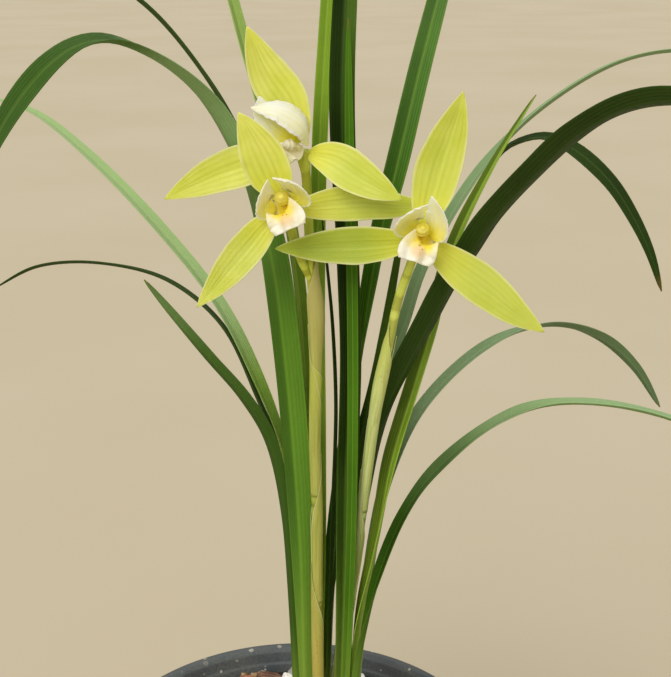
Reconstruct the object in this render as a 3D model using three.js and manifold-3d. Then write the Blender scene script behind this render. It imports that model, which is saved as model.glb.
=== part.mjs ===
// A clump-forming orchid in flower, growing in a round plastic pot.
// Millimetres, +Z up. The origin is the centre of the pot's flat underside, and -Y is the front.

import * as THREE from 'three';
import { mergeVertices } from 'three/addons/utils/BufferGeometryUtils.js';
import Module from 'manifold-3d';

const wasm = await Module();
wasm.setup();

// ---------------------------------------------------------------- driving dimensions

const GAP = 0.35; // clearance between pieces that touch

const POT_HEIGHT = 118;
const POT_RIM_RADIUS = 60;
const POT_BASE_RADIUS = 43;
const POT_WALL = 1.8;
const POT_FLOOR = 3;
const RIM_DEPTH = 11;
const RIM_OVERHANG = 2.6;
const RIM_ROUND = 1.2;
const POT_SEGMENTS = 40;
const DRAIN_COUNT = 6;
const DRAIN_RADIUS = 4;
const DRAIN_RING_RADIUS = 27;
const DRAIN_SIDES = 12;

const MIX_LEVEL = POT_HEIGHT - 5.5;
const CHIP_COUNT = 60;
const CHIP_SIZE_MIN = 8;
const CHIP_SIZE_MAX = 15;
const CHIP_SINK = 1.6;
const CHIP_SEED = 60;
const CHIP_JITTER = 0.28; // how far a chip's corners wander, as a share of its size
const CHIP_TILT = 0.7;
const BED_DROP = 1.5; // the bed between the chips lies this far under the level

const SHOOT_TOP = MIX_LEVEL + 3.5;
const SHOOT_SHOULDER = SHOOT_TOP - 7; // where the sheaths start to stand off the bulb
const SHOOT_FOOT = SHOOT_TOP - 21;
const SHOOT_SIDES = 12;
const SHOOT_CLEARANCE = 1.6; // all round in its hole in the mix, for the wrapped sheaths
const SHEATH_THICKNESS = 0.8;
const SHEATH_HALF_WIDTH = 3.2;
const SHEATH_TIP_HALF_WIDTH = 0.5;

const LEAF_THICKNESS = 0.65;
const LEAF_STATIONS = 18;
const LEAF_FOOT = SHOOT_TOP + GAP;
const LEAF_FOLD_FOOT = 42;
const LEAF_FOLD_MIDDLE = 30;
const LEAF_FOLD_TIP = 16;
const LEAF_FOOT_WIDTH = 3;
const LEAF_TIP_WIDTH = 0.9;

const SCAPE_FOOT = MIX_LEVEL - 15.5;
const SCAPE_SIDES = 9;
const SCAPE_STATIONS = 36;
const SCAPE_RADIUS_FOOT = 1.55;
const SCAPE_RADIUS_TOP = 1.25;
const SCAPE_CLEARANCE = 1.2;
const BRACT_RISE = 0.55;
const FREE_BRACT_HALF_WIDTH = 2.6;
const FREE_BRACT_THICKNESS = 0.7;
const STALK_RADIUS_FOOT = 0.9;
const STALK_RADIUS_TOP = 1.3;

const TEPAL_THICKNESS = 0.65;
const TEPAL_STATIONS = 9;
const TEPAL_COLUMNS = 5;
const LIP_THICKNESS = 0.7;
const LIP_STATIONS = 9;
const LIP_COLUMNS = 7;
const LIP_THROAT_SHARE = 0.31; // half the throat's width, as a share of the lip's width
const LIP_SIDE_RISE = 0.22; // how high the side lobes stand, as a share of the lip's width
const LIP_END_SHARE = 0.45; // half the width of the lip's front edge, as a share of its width
const COLUMN_FOOT_RADIUS = 0.9;

const DEGREE = Math.PI / 180;

// ---------------------------------------------------------------- materials

const finish = (color, roughness, metalness = 0) =>
  new THREE.MeshStandardMaterial({ color, roughness, metalness, side: THREE.DoubleSide });

const POT_BLACK = finish(0x24262a, 0.55);
const MIX_BROWN = finish(0x7a5a42, 0.95);
const SHEATH_TAN = finish(0x9a9a5c, 0.75);
const STEM_GREEN = finish(0xa9a84a, 0.55);
const COLUMN_CREAM = finish(0xf0e9a8, 0.5);
const LIP_WHITE = finish(0xf3ecc4, 0.5);
const PETAL_PALE = finish(0xe4ea9c, 0.5);
const SEPAL_GREEN = finish(0xc6d05c, 0.5);
const LEAF_FINISH = {
  dark: finish(0x27441c, 0.42),
  mid: finish(0x3f6b2c, 0.42),
  bright: finish(0x7fa03c, 0.42),
  grey: finish(0x5d8462, 0.46),
};

// ---------------------------------------------------------------- shared helpers

const vector = ([x, y, z]) => new THREE.Vector3(x, y, z);

const mix = (a, b, share) => a + (b - a) * share;

const smooth = (value) => {
  const share = Math.min(1, Math.max(0, value));
  return share * share * (3 - 2 * share);
};

// A repeatable source of random numbers from 0 to 1.
function randomFrom(seed) {
  let state = seed;
  return () => {
    state = (state * 1664525 + 1013904223) % 4294967296;
    return state / 4294967296;
  };
}

// A closed three.js geometry as a solid that can be joined and cut.
function toSolid(geometry) {
  const bare = geometry.clone();
  bare.deleteAttribute('normal');
  bare.deleteAttribute('uv');
  const merged = mergeVertices(bare, 1e-4);
  return new wasm.Manifold(
    new wasm.Mesh({
      numProp: 3,
      vertProperties: new Float32Array(merged.attributes.position.array),
      triVerts: new Uint32Array(merged.index.array),
    }),
  );
}

function toGeometry(solid) {
  const mesh = solid.getMesh();
  const geometry = new THREE.BufferGeometry();
  geometry.setAttribute('position', new THREE.BufferAttribute(new Float32Array(mesh.vertProperties), 3));
  geometry.setIndex([...mesh.triVerts]);
  geometry.computeVertexNormals();
  return geometry;
}

// Frames that follow a curve without spinning round it. `face` is the way the normal points at
// the start, and `twist` gives the extra turn in degrees at a share of the length.
function framesAlong(curve, stations, face, twist = () => 0) {
  const frames = [];
  let normal = face.clone();
  for (let i = 0; i < stations; i += 1) {
    const share = i / (stations - 1);
    const tangent = curve.getTangentAt(share).normalize();
    normal = normal.clone().addScaledVector(tangent, -normal.dot(tangent)).normalize();
    const turned = normal.clone().applyAxisAngle(tangent, twist(share) * DEGREE);
    const side = turned.clone().cross(tangent).normalize();
    frames.push({ share, origin: curve.getPointAt(share), side, normal: turned });
  }
  return frames;
}

// A thin closed blade: `section(share, s)` gives the offset [along side, along normal] of the
// middle surface at a share of the length, for s from -1 to 1 across it.
function bladeGeometry({ curve, face, twist, stations, columns, section, thickness }) {
  const frames = framesAlong(curve, stations, face, twist);
  const upper = [];
  const lower = [];
  for (const { share, origin, side, normal } of frames) {
    const offsets = [];
    for (let j = 0; j < columns; j += 1) {
      offsets.push(section(share, (2 * j) / (columns - 1) - 1));
    }
    const segmentNormals = [];
    for (let j = 0; j < columns - 1; j += 1) {
      const da = offsets[j + 1][0] - offsets[j][0];
      const db = offsets[j + 1][1] - offsets[j][1];
      const size = Math.hypot(da, db);
      segmentNormals.push([-db / size, da / size]);
    }
    for (let j = 0; j < columns; j += 1) {
      const before = segmentNormals[Math.max(0, j - 1)];
      const after = segmentNormals[Math.min(columns - 2, j)];
      const sum = [before[0] + after[0], before[1] + after[1]];
      const size = Math.hypot(sum[0], sum[1]);
      const reach = thickness / 2 / (size / 2);
      const na = (sum[0] / size) * reach;
      const nb = (sum[1] / size) * reach;
      const place = (sign) =>
        origin
          .clone()
          .addScaledVector(side, offsets[j][0] + sign * na)
          .addScaledVector(normal, offsets[j][1] + sign * nb);
      upper.push(place(1));
      lower.push(place(-1));
    }
  }
  const index = [];
  const quad = (a, b, c, d) => index.push(a, b, c, a, c, d);
  const low = upper.length;
  for (let i = 0; i < stations - 1; i += 1) {
    for (let j = 0; j < columns - 1; j += 1) {
      const a = i * columns + j;
      const b = a + 1;
      const c = a + columns + 1;
      const d = a + columns;
      quad(a, d, c, b);
      quad(low + a, low + b, low + c, low + d);
    }
    const left = i * columns;
    const right = left + columns - 1;
    quad(left, low + left, low + left + columns, left + columns);
    quad(right, right + columns, low + right + columns, low + right);
  }
  const last = (stations - 1) * columns;
  for (let j = 0; j < columns - 1; j += 1) {
    quad(j, j + 1, low + j + 1, low + j);
    quad(last + j, low + last + j, low + last + j + 1, last + j + 1);
  }
  const geometry = new THREE.BufferGeometry().setFromPoints([...upper, ...lower]);
  geometry.setIndex(index);
  geometry.computeVertexNormals();
  return geometry;
}

// A closed round rod along a curve, whose radius is given by a share of the length and an angle.
function rodGeometry({ curve, face, stations, sides, radius }) {
  const points = [];
  const frames = framesAlong(curve, stations, face);
  for (const { share, origin, side, normal } of frames) {
    for (let k = 0; k < sides; k += 1) {
      const angle = (2 * Math.PI * k) / sides;
      const reach = radius(share, angle);
      points.push(
        origin
          .clone()
          .addScaledVector(side, reach * Math.cos(angle))
          .addScaledVector(normal, reach * Math.sin(angle)),
      );
    }
  }
  const foot = points.length;
  points.push(frames[0].origin, frames[stations - 1].origin);
  const index = [];
  for (let k = 0; k < sides; k += 1) {
    const next = (k + 1) % sides;
    for (let i = 0; i < stations - 1; i += 1) {
      const a = i * sides + k;
      const b = i * sides + next;
      index.push(a, b, b + sides, a, b + sides, a + sides);
    }
    const top = (stations - 1) * sides;
    index.push(foot, next, k);
    index.push(foot + 1, top + k, top + next);
  }
  const geometry = new THREE.BufferGeometry().setFromPoints(points);
  geometry.setIndex(index);
  geometry.computeVertexNormals();
  return geometry;
}

const curveThrough = (points) => new THREE.CatmullRomCurve3(points.map(vector), false, 'centripetal');

const group = new THREE.Group();

function addPiece(name, geometry, material) {
  const mesh = new THREE.Mesh(geometry, material);
  mesh.name = name;
  group.add(mesh);
}

// ---------------------------------------------------------------- pot

const potOuterRadiusAt = (z) => mix(POT_BASE_RADIUS, POT_RIM_RADIUS - RIM_OVERHANG, z / POT_HEIGHT);

const potInnerRadiusAt = (z) => potOuterRadiusAt(z) - POT_WALL;

const latheOf = (profile, segments) => {
  const geometry = new THREE.LatheGeometry(profile.map(([r, z]) => new THREE.Vector2(r, z)), segments);
  geometry.rotateX(Math.PI / 2);
  return geometry;
};

// A cylinder that stands along Z with its foot at a given height.
const postOf = (x, y, foot, height, radius, sides) => {
  const geometry = new THREE.CylinderGeometry(radius, radius, height, sides);
  geometry.rotateX(Math.PI / 2);
  geometry.translate(x, y, foot + height / 2);
  return geometry;
};

function potGeometry() {
  const rimFoot = POT_HEIGHT - RIM_DEPTH;
  const rimInner = potInnerRadiusAt(POT_HEIGHT) + RIM_ROUND;
  const profile = [
    [0, 0],
    [POT_BASE_RADIUS - 1, 0],
    [POT_BASE_RADIUS + 0.2, RIM_ROUND],
    [potOuterRadiusAt(rimFoot), rimFoot],
    [POT_RIM_RADIUS - 0.6, rimFoot + 0.4],
    [POT_RIM_RADIUS, rimFoot + RIM_ROUND],
    [POT_RIM_RADIUS, POT_HEIGHT - RIM_ROUND],
    [POT_RIM_RADIUS - RIM_ROUND, POT_HEIGHT],
    [rimInner, POT_HEIGHT],
    [potInnerRadiusAt(POT_HEIGHT - RIM_ROUND), POT_HEIGHT - RIM_ROUND],
    [potInnerRadiusAt(POT_FLOOR), POT_FLOOR],
    [0, POT_FLOOR],
  ];
  let pot = toSolid(latheOf(profile, POT_SEGMENTS));
  for (let k = 0; k < DRAIN_COUNT; k += 1) {
    const angle = (2 * Math.PI * k) / DRAIN_COUNT;
    const x = DRAIN_RING_RADIUS * Math.cos(angle);
    const y = DRAIN_RING_RADIUS * Math.sin(angle);
    pot = pot.subtract(toSolid(postOf(x, y, -1, POT_FLOOR + 2, DRAIN_RADIUS, DRAIN_SIDES)));
  }
  return toGeometry(pot);
}

addPiece('pot', potGeometry(), POT_BLACK);

// ---------------------------------------------------------------- shoot bases

// Each shoot is a small bulb standing in the mix, wrapped by papery sheaths on its open sides.
// `sheaths` lists the way each one faces in degrees and how high it stands above the shoulder.
const SHOOTS = [
  { name: 'shoot_left', x: 3.6, y: 0.6, radius: 4.7, sheaths: [[125, 20], [185, 27], [245, 17]] },
  { name: 'shoot_right', x: 14.8, y: -1, radius: 4.7, sheaths: [[-58, 14], [-10, 24], [42, 19]] },
  { name: 'shoot_back', x: 9.6, y: 11.4, radius: 4.4, sheaths: [[35, 18], [90, 25], [145, 21]] },
];

const shootProfile = (radius) => [
  [0, SHOOT_FOOT],
  [radius * 0.5, SHOOT_FOOT + 1],
  [radius * 0.9, SHOOT_FOOT + 6],
  [radius, SHOOT_FOOT + 12],
  [radius * 0.97, SHOOT_TOP - 4],
  [radius * 0.92, SHOOT_TOP],
  [0, SHOOT_TOP],
];

function sheathGeometry(shoot, facing, height) {
  const angle = facing * DEGREE;
  const outward = new THREE.Vector3(Math.cos(angle), Math.sin(angle), 0);
  const at = (reach, z) => [shoot.x + outward.x * reach, shoot.y + outward.y * reach, z];
  const curve = curveThrough([
    at(shoot.radius - 0.5, SHOOT_SHOULDER - 5),
    at(shoot.radius + 0.1, SHOOT_SHOULDER + 4),
    at(shoot.radius + 0.7, SHOOT_SHOULDER + height * 0.55),
    at(shoot.radius + 1.9, SHOOT_SHOULDER + height),
  ]);
  const section = (share, s) => {
    const half = mix(SHEATH_HALF_WIDTH, SHEATH_TIP_HALF_WIDTH, smooth((share - 0.35) / 0.65));
    const wrap = half / shoot.radius;
    return [shoot.radius * Math.sin(s * wrap), shoot.radius * (1 - Math.cos(s * wrap))];
  };
  return bladeGeometry({
    curve,
    face: outward.clone().negate(),
    stations: 5,
    columns: 4,
    section,
    thickness: SHEATH_THICKNESS,
  });
}

for (const shoot of SHOOTS) {
  const bulb = latheOf(shootProfile(shoot.radius), SHOOT_SIDES);
  bulb.translate(shoot.x, shoot.y, 0);
  let solid = toSolid(bulb);
  for (const [facing, height] of shoot.sheaths) {
    solid = solid.add(toSolid(sheathGeometry(shoot, facing, height)));
  }
  addPiece(shoot.name, toGeometry(solid), SHEATH_TAN);
}

// ---------------------------------------------------------------- flower stems

// Each stem rises from the mix beside the shoots. `bracts` are its sheathing scales, as the share
// of the length where one starts, where its tip ends and the way it faces. `stalks` branch off to
// the blooms.
const SCAPES = [
  {
    name: 'stem_left',
    path: [
      [9, -8.2, SCAPE_FOOT], [8.6, -7.9, 116], [7.2, -6.8, 147], [7, -6, 175], [7, -6.2, 196],
      [6.6, -6.8, 219], [7, -7.6, 240], [6.4, -8.6, 256], [5.6, -9.4, 272], [4.9, -9.4, 288],
      [4.2, -10.3, 293.6],
    ],
    bracts: [
      [0.06, 0.26, 200], [0.2, 0.44, 20], [0.38, 0.6, 190], [0.54, 0.78, 350], [0.7, 0.86, 170],
    ],
    freeBract: { from: 0.76, facing: [1, -0.3, 0], tip: [9.6, -9.2, 266] },
    stalks: [
      [[6, -9, 262], [3.8, -10.8, 267], [2, -12.4, 273], [0.8, -14, 279.4], [0.4, -15.4, 281.2]],
    ],
  },
  {
    name: 'stem_right',
    path: [
      [9.9, 4.6, SCAPE_FOOT], [10.5, 4.4, 118], [13, 3.4, 148], [16.2, 2.2, 170],
      [18.6, 0.8, 191], [20.4, -1.2, 209.5], [22.2, -3.6, 226], [25, -5.8, 243],
      [27.4, -7.8, 257], [29.6, -10.4, 265], [31.4, -12.8, 271.6], [32.1, -14.3, 273.6],
    ],
    bracts: [
      [0.06, 0.24, 30], [0.18, 0.42, 210], [0.36, 0.62, 0], [0.55, 0.84, 180],
    ],
    freeBract: { from: 0.74, facing: [-1, 0, 0.3], tip: [26, -9, 262.5] },
    stalks: [],
  },
];

// The angle between two directions round the stem.
const angleBetween = (a, b) => Math.abs(Math.atan2(Math.sin(a - b), Math.cos(a - b)));

// How far the sheathing scales lift the stem's surface at a share of its length and an angle.
function bractRise(bracts, share, angle) {
  let rise = 0;
  for (const [from, to, facing] of bracts) {
    const along = (share - from) / (to - from);
    if (along > 0 && along < 1) {
      const half = mix(Math.PI * 1.1, 0.5, smooth((along - 0.45) / 0.55));
      if (angleBetween(angle, facing * DEGREE) < half) {
        rise = Math.max(rise, BRACT_RISE * smooth(along * 4));
      }
    }
  }
  return rise;
}

function scapeSolid({ path, bracts, freeBract, stalks }) {
  const curve = curveThrough(path);
  const radius = (share, angle) =>
    mix(SCAPE_RADIUS_FOOT, SCAPE_RADIUS_TOP, share) + bractRise(bracts, share, angle);
  const face = new THREE.Vector3(0, -1, 0);
  const stem = rodGeometry({ curve, face, stations: SCAPE_STATIONS, sides: SCAPE_SIDES, radius });
  let solid = toSolid(stem);
  for (const stalk of stalks) {
    const rod = rodGeometry({
      curve: curveThrough(stalk),
      face,
      stations: 8,
      sides: 8,
      radius: (share) => mix(STALK_RADIUS_FOOT, STALK_RADIUS_TOP, share),
    });
    solid = solid.add(toSolid(rod));
  }
  const start = curve.getPointAt(freeBract.from);
  const facing = vector(freeBract.facing).normalize();
  const tip = vector(freeBract.tip);
  const belly = start.clone().lerp(tip, 0.5).addScaledVector(facing, 0.5);
  const bract = bladeGeometry({
    curve: new THREE.CatmullRomCurve3([start, belly, tip]),
    face: facing.clone().negate(),
    stations: 6,
    columns: 5,
    section: (share, s) => {
      const half = mix(FREE_BRACT_HALF_WIDTH, 0.5, smooth((share - 0.3) / 0.7));
      return [half * Math.sin(s * 1.3), 0.55 * half * (1 - Math.cos(s * 1.3))];
    },
    thickness: FREE_BRACT_THICKNESS,
  });
  return solid.add(toSolid(bract));
}

for (const scape of SCAPES) {
  addPiece(scape.name, toGeometry(scapeSolid(scape)), STEM_GREEN);
}

// ---------------------------------------------------------------- potting mix

// A block with jittered corners, lying at a random turn.
function chipGeometry(random, size) {
  const breadth = size * mix(0.55, 0.95, random());
  const chip = new THREE.BoxGeometry(size, breadth, size * mix(0.35, 0.6, random()));
  const position = chip.attributes.position;
  const corners = new Map();
  for (let i = 0; i < position.count; i += 1) {
    const key = `${position.getX(i) > 0}${position.getY(i) > 0}${position.getZ(i) > 0}`;
    if (!corners.has(key)) {
      const jitter = () => (random() - 0.5) * size * CHIP_JITTER;
      corners.set(key, [jitter(), jitter(), jitter() * 0.6]);
    }
    const [jx, jy, jz] = corners.get(key);
    position.setXYZ(i, position.getX(i) + jx, position.getY(i) + jy, position.getZ(i) + jz);
  }
  chip.rotateX((random() - 0.5) * CHIP_TILT);
  chip.rotateY((random() - 0.5) * CHIP_TILT);
  chip.rotateZ(random() * Math.PI);
  return chip;
}

// The mix fills the pot: a bed with chips spread over it, trimmed clear of the wall, and a plain
// hole down through it for each shoot and each flower stem.
function pottingMixGeometry() {
  const clear = GAP + 0.05;
  const top = MIX_LEVEL - BED_DROP;
  const crown = MIX_LEVEL + 5;
  const holeHeight = 40;
  const bed = [
    [0, POT_FLOOR + GAP],
    [potInnerRadiusAt(POT_FLOOR) - 1, POT_FLOOR + GAP],
    [potInnerRadiusAt(top) - clear, top],
    [0, top],
  ];
  const random = randomFrom(CHIP_SEED);
  const goldenAngle = Math.PI * (3 - Math.sqrt(5));
  let solid = toSolid(latheOf(bed, POT_SEGMENTS));
  const reach = potInnerRadiusAt(MIX_LEVEL) - clear;
  for (let k = 0; k < CHIP_COUNT; k += 1) {
    const size = mix(CHIP_SIZE_MIN, CHIP_SIZE_MAX, random());
    const ring = (reach - size * 0.5) * Math.sqrt((k + 0.5) / CHIP_COUNT);
    const angle = k * goldenAngle + (random() - 0.5) * 0.2;
    const chip = chipGeometry(random, size);
    const lift = top + CHIP_SINK * (random() - 0.3);
    chip.translate(ring * Math.cos(angle), ring * Math.sin(angle), lift);
    solid = solid.add(toSolid(chip));
  }
  const sleeve = [
    [0, POT_FLOOR + GAP],
    [potInnerRadiusAt(POT_FLOOR) - 1, POT_FLOOR + GAP],
    [potInnerRadiusAt(crown) - clear - 0.4, crown],
    [0, crown],
  ];
  solid = solid.intersect(toSolid(latheOf(sleeve, POT_SEGMENTS)));
  for (const shoot of SHOOTS) {
    const radius = shoot.radius + SHOOT_CLEARANCE;
    const hole = postOf(shoot.x, shoot.y, SHOOT_FOOT - GAP, holeHeight, radius, SHOOT_SIDES);
    solid = solid.subtract(toSolid(hole));
  }
  for (const scape of SCAPES) {
    const [x, y] = scape.path[0];
    const radius = SCAPE_RADIUS_FOOT + SCAPE_CLEARANCE;
    solid = solid.subtract(toSolid(postOf(x, y, SCAPE_FOOT - GAP, holeHeight, radius, SCAPE_SIDES + 1)));
  }
  return toGeometry(solid);
}

addPiece('potting_mix', pottingMixGeometry(), MIX_BROWN);

// ---------------------------------------------------------------- leaves

// Every leaf starts on a shoot and follows its keel through `path`. `opens` is the way its fold
// opens at the foot, in degrees round Z from +X, which is back towards the middle of its shoot.
// `width` is its flat width, and `turns` lists how far the blade has turned about its keel, in
// degrees, at shares of its length.
const LEAVES = [
  {
    name: 'leaf_left_long', finish: 'mid', opens: 72, width: 8.4, foot: [3.4, -3],
    turns: [[0.5, 0], [0.68, -30], [0.78, -44], [0.85, -44], [0.92, -68]],
    path: [
      [3.2, -3.6, 150], [2.4, -4, 190], [-0.4, -3.6, 235], [-3.8, -3.4, 266], [-8, -4.6, 283.5],
      [-12.3, -6, 293.5], [-17, -8, 302.5], [-23, -12.5, 310.3], [-29.5, -18.5, 316],
      [-36.5, -25.5, 319.5], [-42, -32, 319], [-46, -37, 316.5], [-49.5, -41, 313],
      [-53.5, -45.5, 307.5], [-57.5, -50, 300], [-60.5, -54, 291.5],
    ],
  },
  {
    name: 'leaf_left_thin', finish: 'dark', opens: 0, width: 4.4, foot: [3.8, 0.3],
    path: [
      [3.7, 0.8, 150], [3, 3, 195], [-0.4, 6.6, 240], [-5.5, 10, 272.5], [-13.5, 15, 295],
      [-26, 27, 312.5], [-40.5, 40, 325.5], [-60, 56, 334], [-80, 70, 330],
    ],
  },
  {
    name: 'leaf_left_bright', finish: 'bright', opens: -35, width: 5.4, foot: [5, 3.8],
    path: [
      [5.4, 5, 150], [4.8, 7.4, 190], [3.4, 10, 235], [0.4, 12, 266], [-5, 15.6, 292],
      [-11.5, 23, 314.5], [-17, 32, 332], [-26, 42, 352], [-38, 52, 366],
    ],
  },
  {
    name: 'leaf_left_pale', finish: 'bright', opens: 8, width: 5, foot: [1.3, 1.6],
    turns: [[0.3, 0], [0.5, -44]],
    path: [
      [1.3, 2.4, 150], [0.5, 4.2, 182], [-2, 5.6, 208.5], [-10.5, 9, 233], [-19.5, 14, 249.5],
      [-38, 28, 268.5], [-57.5, 43, 284], [-74, 56, 293.5], [-92, 70, 297],
    ],
  },
  {
    name: 'leaf_left_low', finish: 'dark', opens: -25, width: 3, foot: [2.7, 4.4],
    turns: [[0.3, 0], [0.45, 14], [0.65, 0]],
    path: [
      [2.4, 6.4, 150], [1.2, 10, 182], [-3, 14.2, 204.5], [-9.5, 20, 219], [-20, 32, 237],
      [-36, 45, 246.5], [-56.5, 60, 248], [-84, 84, 241], [-104, 100, 229],
    ],
  },
  {
    name: 'leaf_left_short', finish: 'mid', opens: 60, width: 4, foot: [0.8, -0.8],
    turns: [[0.5, 0], [0.7, 14]],
    path: [
      [0.6, -0.2, 145], [-0.2, 0.6, 172], [-1.7, 0.9, 195], [-5.2, -1.3, 216], [-11, -6.6, 230],
      [-19, -11.4, 242.5], [-28, -17, 257], [-32.5, -22, 265.5],
    ],
  },
  {
    name: 'leaf_upright_pale', finish: 'bright', opens: -85, width: 4.2, foot: [6.6, -0.6],
    path: [
      [6.8, 0, 145], [7.4, 2.6, 180], [7.4, 5.2, 217], [7.2, 6.4, 250], [7.9, 7.2, 292],
      [10, 10, 327], [11.4, 13.4, 352], [12.6, 17, 372],
    ],
  },
  {
    name: 'leaf_upright_thin', finish: 'dark', opens: 175, width: 2.8, foot: [7.7, 1.7],
    path: [
      [10, 0.8, 145], [10.8, 0.6, 172], [11.5, 0.9, 198.5], [12.2, 1.5, 225], [11.3, 2.3, 247],
      [9.8, 3, 263], [8.4, 3.6, 276],
    ],
  },
  {
    name: 'leaf_centre_dark', finish: 'dark', opens: -92, width: 6.8, foot: [12.6, -1.4],
    turns: [[0, 0], [0.3, 28], [0.55, 28], [0.75, 0]],
    path: [
      [13.2, -2, 140], [13.8, -2, 165], [14.2, -1.6, 200], [15.2, -0.4, 240], [14.5, 1.2, 264],
      [13.4, 4, 302], [14.2, 7.5, 327], [16, 12, 356], [18.6, 18, 384],
    ],
  },
  {
    name: 'leaf_centre_slim', finish: 'mid', opens: -92, width: 3, foot: [13.4, -3.9],
    path: [
      [14.4, -4.9, 142], [15.5, -4.9, 170], [16.2, -4.4, 200], [16.3, -3.2, 240],
      [15.8, -1.6, 272], [15.2, 0, 298], [14.9, 1.8, 323],
    ],
  },
  {
    name: 'leaf_right_tall', finish: 'mid', opens: -100, width: 6.4, foot: [8.8, 8.6],
    turns: [[0.05, 0], [0.25, -56], [0.45, -56], [0.55, -38], [0.68, 0]],
    path: [
      [9.4, 7.6, 145], [11, 7, 174], [14.2, 6.6, 205], [18.6, 8.8, 236], [22.5, 12, 261.5],
      [27.5, 15, 284.5], [33, 20, 308], [38, 25, 327], [44, 33, 350], [51, 43, 370],
    ],
  },
  {
    name: 'leaf_right_long', finish: 'dark', opens: 135, width: 8.6, foot: [12.5, 9.6],
    turns: [[0.2, 0], [0.45, -13], [0.7, -18], [0.78, -25], [0.9, -54]],
    path: [
      [14.8, 10.6, 145], [17.6, 10.4, 172], [20.2, 9.8, 196], [22.6, 8, 212],
      [25.5, 4.5, 224], [29.6, 2, 234.5], [35.5, -1, 248], [40, -4.5, 259],
      [44.5, -8.5, 268.5], [48, -13, 276.5], [56.5, -28, 292], [62.5, -42, 302.5],
      [69, -56, 309.6], [75, -68, 312.2], [81, -79, 311.6], [85.5, -86, 308.2], [88.5, -91, 303.6],
    ],
  },
  {
    name: 'leaf_right_folded', finish: 'bright', opens: 172, width: 6.6, foot: [16.4, -1.4],
    turns: [[0.15, 0], [0.35, 20], [0.5, 42], [0.65, 42], [0.8, 30], [0.95, 20]],
    path: [
      [17.1, -2.2, 142], [18.8, -2.8, 163], [23.7, -1.3, 190], [27.2, 2.4, 209], [33, 8.4, 227.4],
      [37.2, 11.4, 241.4], [43, 13.4, 265], [52.5, 18, 284.5], [64, 25, 302.5],
    ],
  },
  {
    name: 'leaf_right_grey', finish: 'grey', opens: -150, width: 5.2, foot: [10.4, 14],
    turns: [[0.1, 0], [0.45, 9], [0.58, 2], [0.7, -24], [0.9, -14]],
    path: [
      [10.6, 15.8, 145], [12.6, 18.4, 176], [17.6, 20.4, 203], [23.6, 21.8, 220], [31, 25, 239.5],
      [36.5, 30, 255], [53, 42, 280], [70.5, 50, 296], [96, 60, 308.5], [122, 70, 309],
      [142, 78, 298],
    ],
  },
  {
    name: 'leaf_right_behind', finish: 'dark', opens: 178, width: 5.2, foot: [12.7, 12.2],
    turns: [[0.6, 0], [0.7, -12], [0.78, 0], [0.86, 45]],
    path: [
      [13.6, 13.6, 145], [16, 15.2, 176], [18.8, 15, 196],
      [21.9, 14.5, 210], [29.5, 17, 225], [37, 20, 241.5], [42.5, 22.5, 258.5],
      [46, 25, 266.5], [50, 27, 275.5], [53.5, 28, 283], [57, 28, 287.5], [61, 26.5, 290],
      [67, 23, 291.5], [74.5, 18, 288.5], [82, 13, 282], [87, 8, 274.5], [91, 3, 266],
      [94, 0, 256.5],
    ],
  },
  {
    name: 'leaf_right_arched', finish: 'grey', opens: 195, width: 5.2, foot: [17.8, 0.8],
    turns: [[0.05, 0], [0.25, 20], [0.62, 24], [0.74, 0], [0.9, -30]],
    path: [
      [19, 2.2, 145], [21.4, 5.4, 170], [26.5, 12, 198], [36.5, 23, 216], [55.5, 36, 229.8],
      [74, 46, 233], [92, 55, 226.5], [105, 61, 215], [115, 65, 200],
    ],
  },
  {
    name: 'leaf_right_low', finish: 'mid', opens: 155, width: 4.6, foot: [17.2, -3.9],
    turns: [[0.16, 0], [0.34, 54], [0.5, 40], [0.65, 14], [0.75, -18], [0.85, -32]],
    path: [
      [17.9, -6, 147], [20.4, -6.8, 165], [24, -8.8, 182.5], [29.5, -12.6, 200],
      [37.5, -20, 217], [54, -36, 238], [68.5, -50, 245.4], [86, -67, 246], [100, -81, 239],
    ],
  },
  {
    name: 'leaf_right_slim', finish: 'dark', opens: -120, width: 3, foot: [7.4, 12.4],
    path: [
      [8.8, 12, 145], [12, 11.4, 176], [17.4, 10.8, 207], [22.2, 9.8, 228], [25.2, 9.6, 245],
      [28, 9.8, 263], [30, 10.4, 277],
    ],
  },
];

// A leaf is narrow at its foot, full over its middle and drawn out to its tip, and it is folded
// along its keel, closely at the foot and flatter towards the tip.
const leafSection = (width) => (share, s) => {
  const swell = smooth(share / 0.3);
  const taper = share < 0.6 ? 1 : Math.sqrt(1 - ((share - 0.6) / 0.4) ** 2.2);
  const flat = Math.max(LEAF_TIP_WIDTH, mix(LEAF_FOOT_WIDTH, width, swell) * taper);
  const fold =
    share < 0.3
      ? mix(LEAF_FOLD_FOOT, LEAF_FOLD_MIDDLE, share / 0.3)
      : mix(LEAF_FOLD_MIDDLE, LEAF_FOLD_TIP, (share - 0.3) / 0.7);
  const half = (flat / 2) * s;
  return [half * Math.cos(fold * DEGREE), Math.abs(half) * Math.sin(fold * DEGREE)];
};

// The blade's extra turn in degrees at a share of its length, easing from one entry of `turns`
// to the next.
function twistThrough(turns = [[0, 0]]) {
  return (share) => {
    let degrees = turns[0][1];
    for (let i = 1; i < turns.length; i += 1) {
      const [from, before] = turns[i - 1];
      const [to, after] = turns[i];
      degrees += (after - before) * smooth((share - from) / (to - from));
    }
    return degrees;
  };
}

for (const leaf of LEAVES) {
  const opens = leaf.opens * DEGREE;
  const geometry = bladeGeometry({
    curve: curveThrough([[...leaf.foot, LEAF_FOOT], ...leaf.path]),
    face: new THREE.Vector3(Math.cos(opens), Math.sin(opens), 0),
    twist: twistThrough(leaf.turns),
    stations: LEAF_STATIONS,
    columns: 3,
    section: leafSection(leaf.width),
    thickness: LEAF_THICKNESS,
  });
  addPiece(leaf.name, geometry, LEAF_FINISH[leaf.finish]);
}

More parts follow.
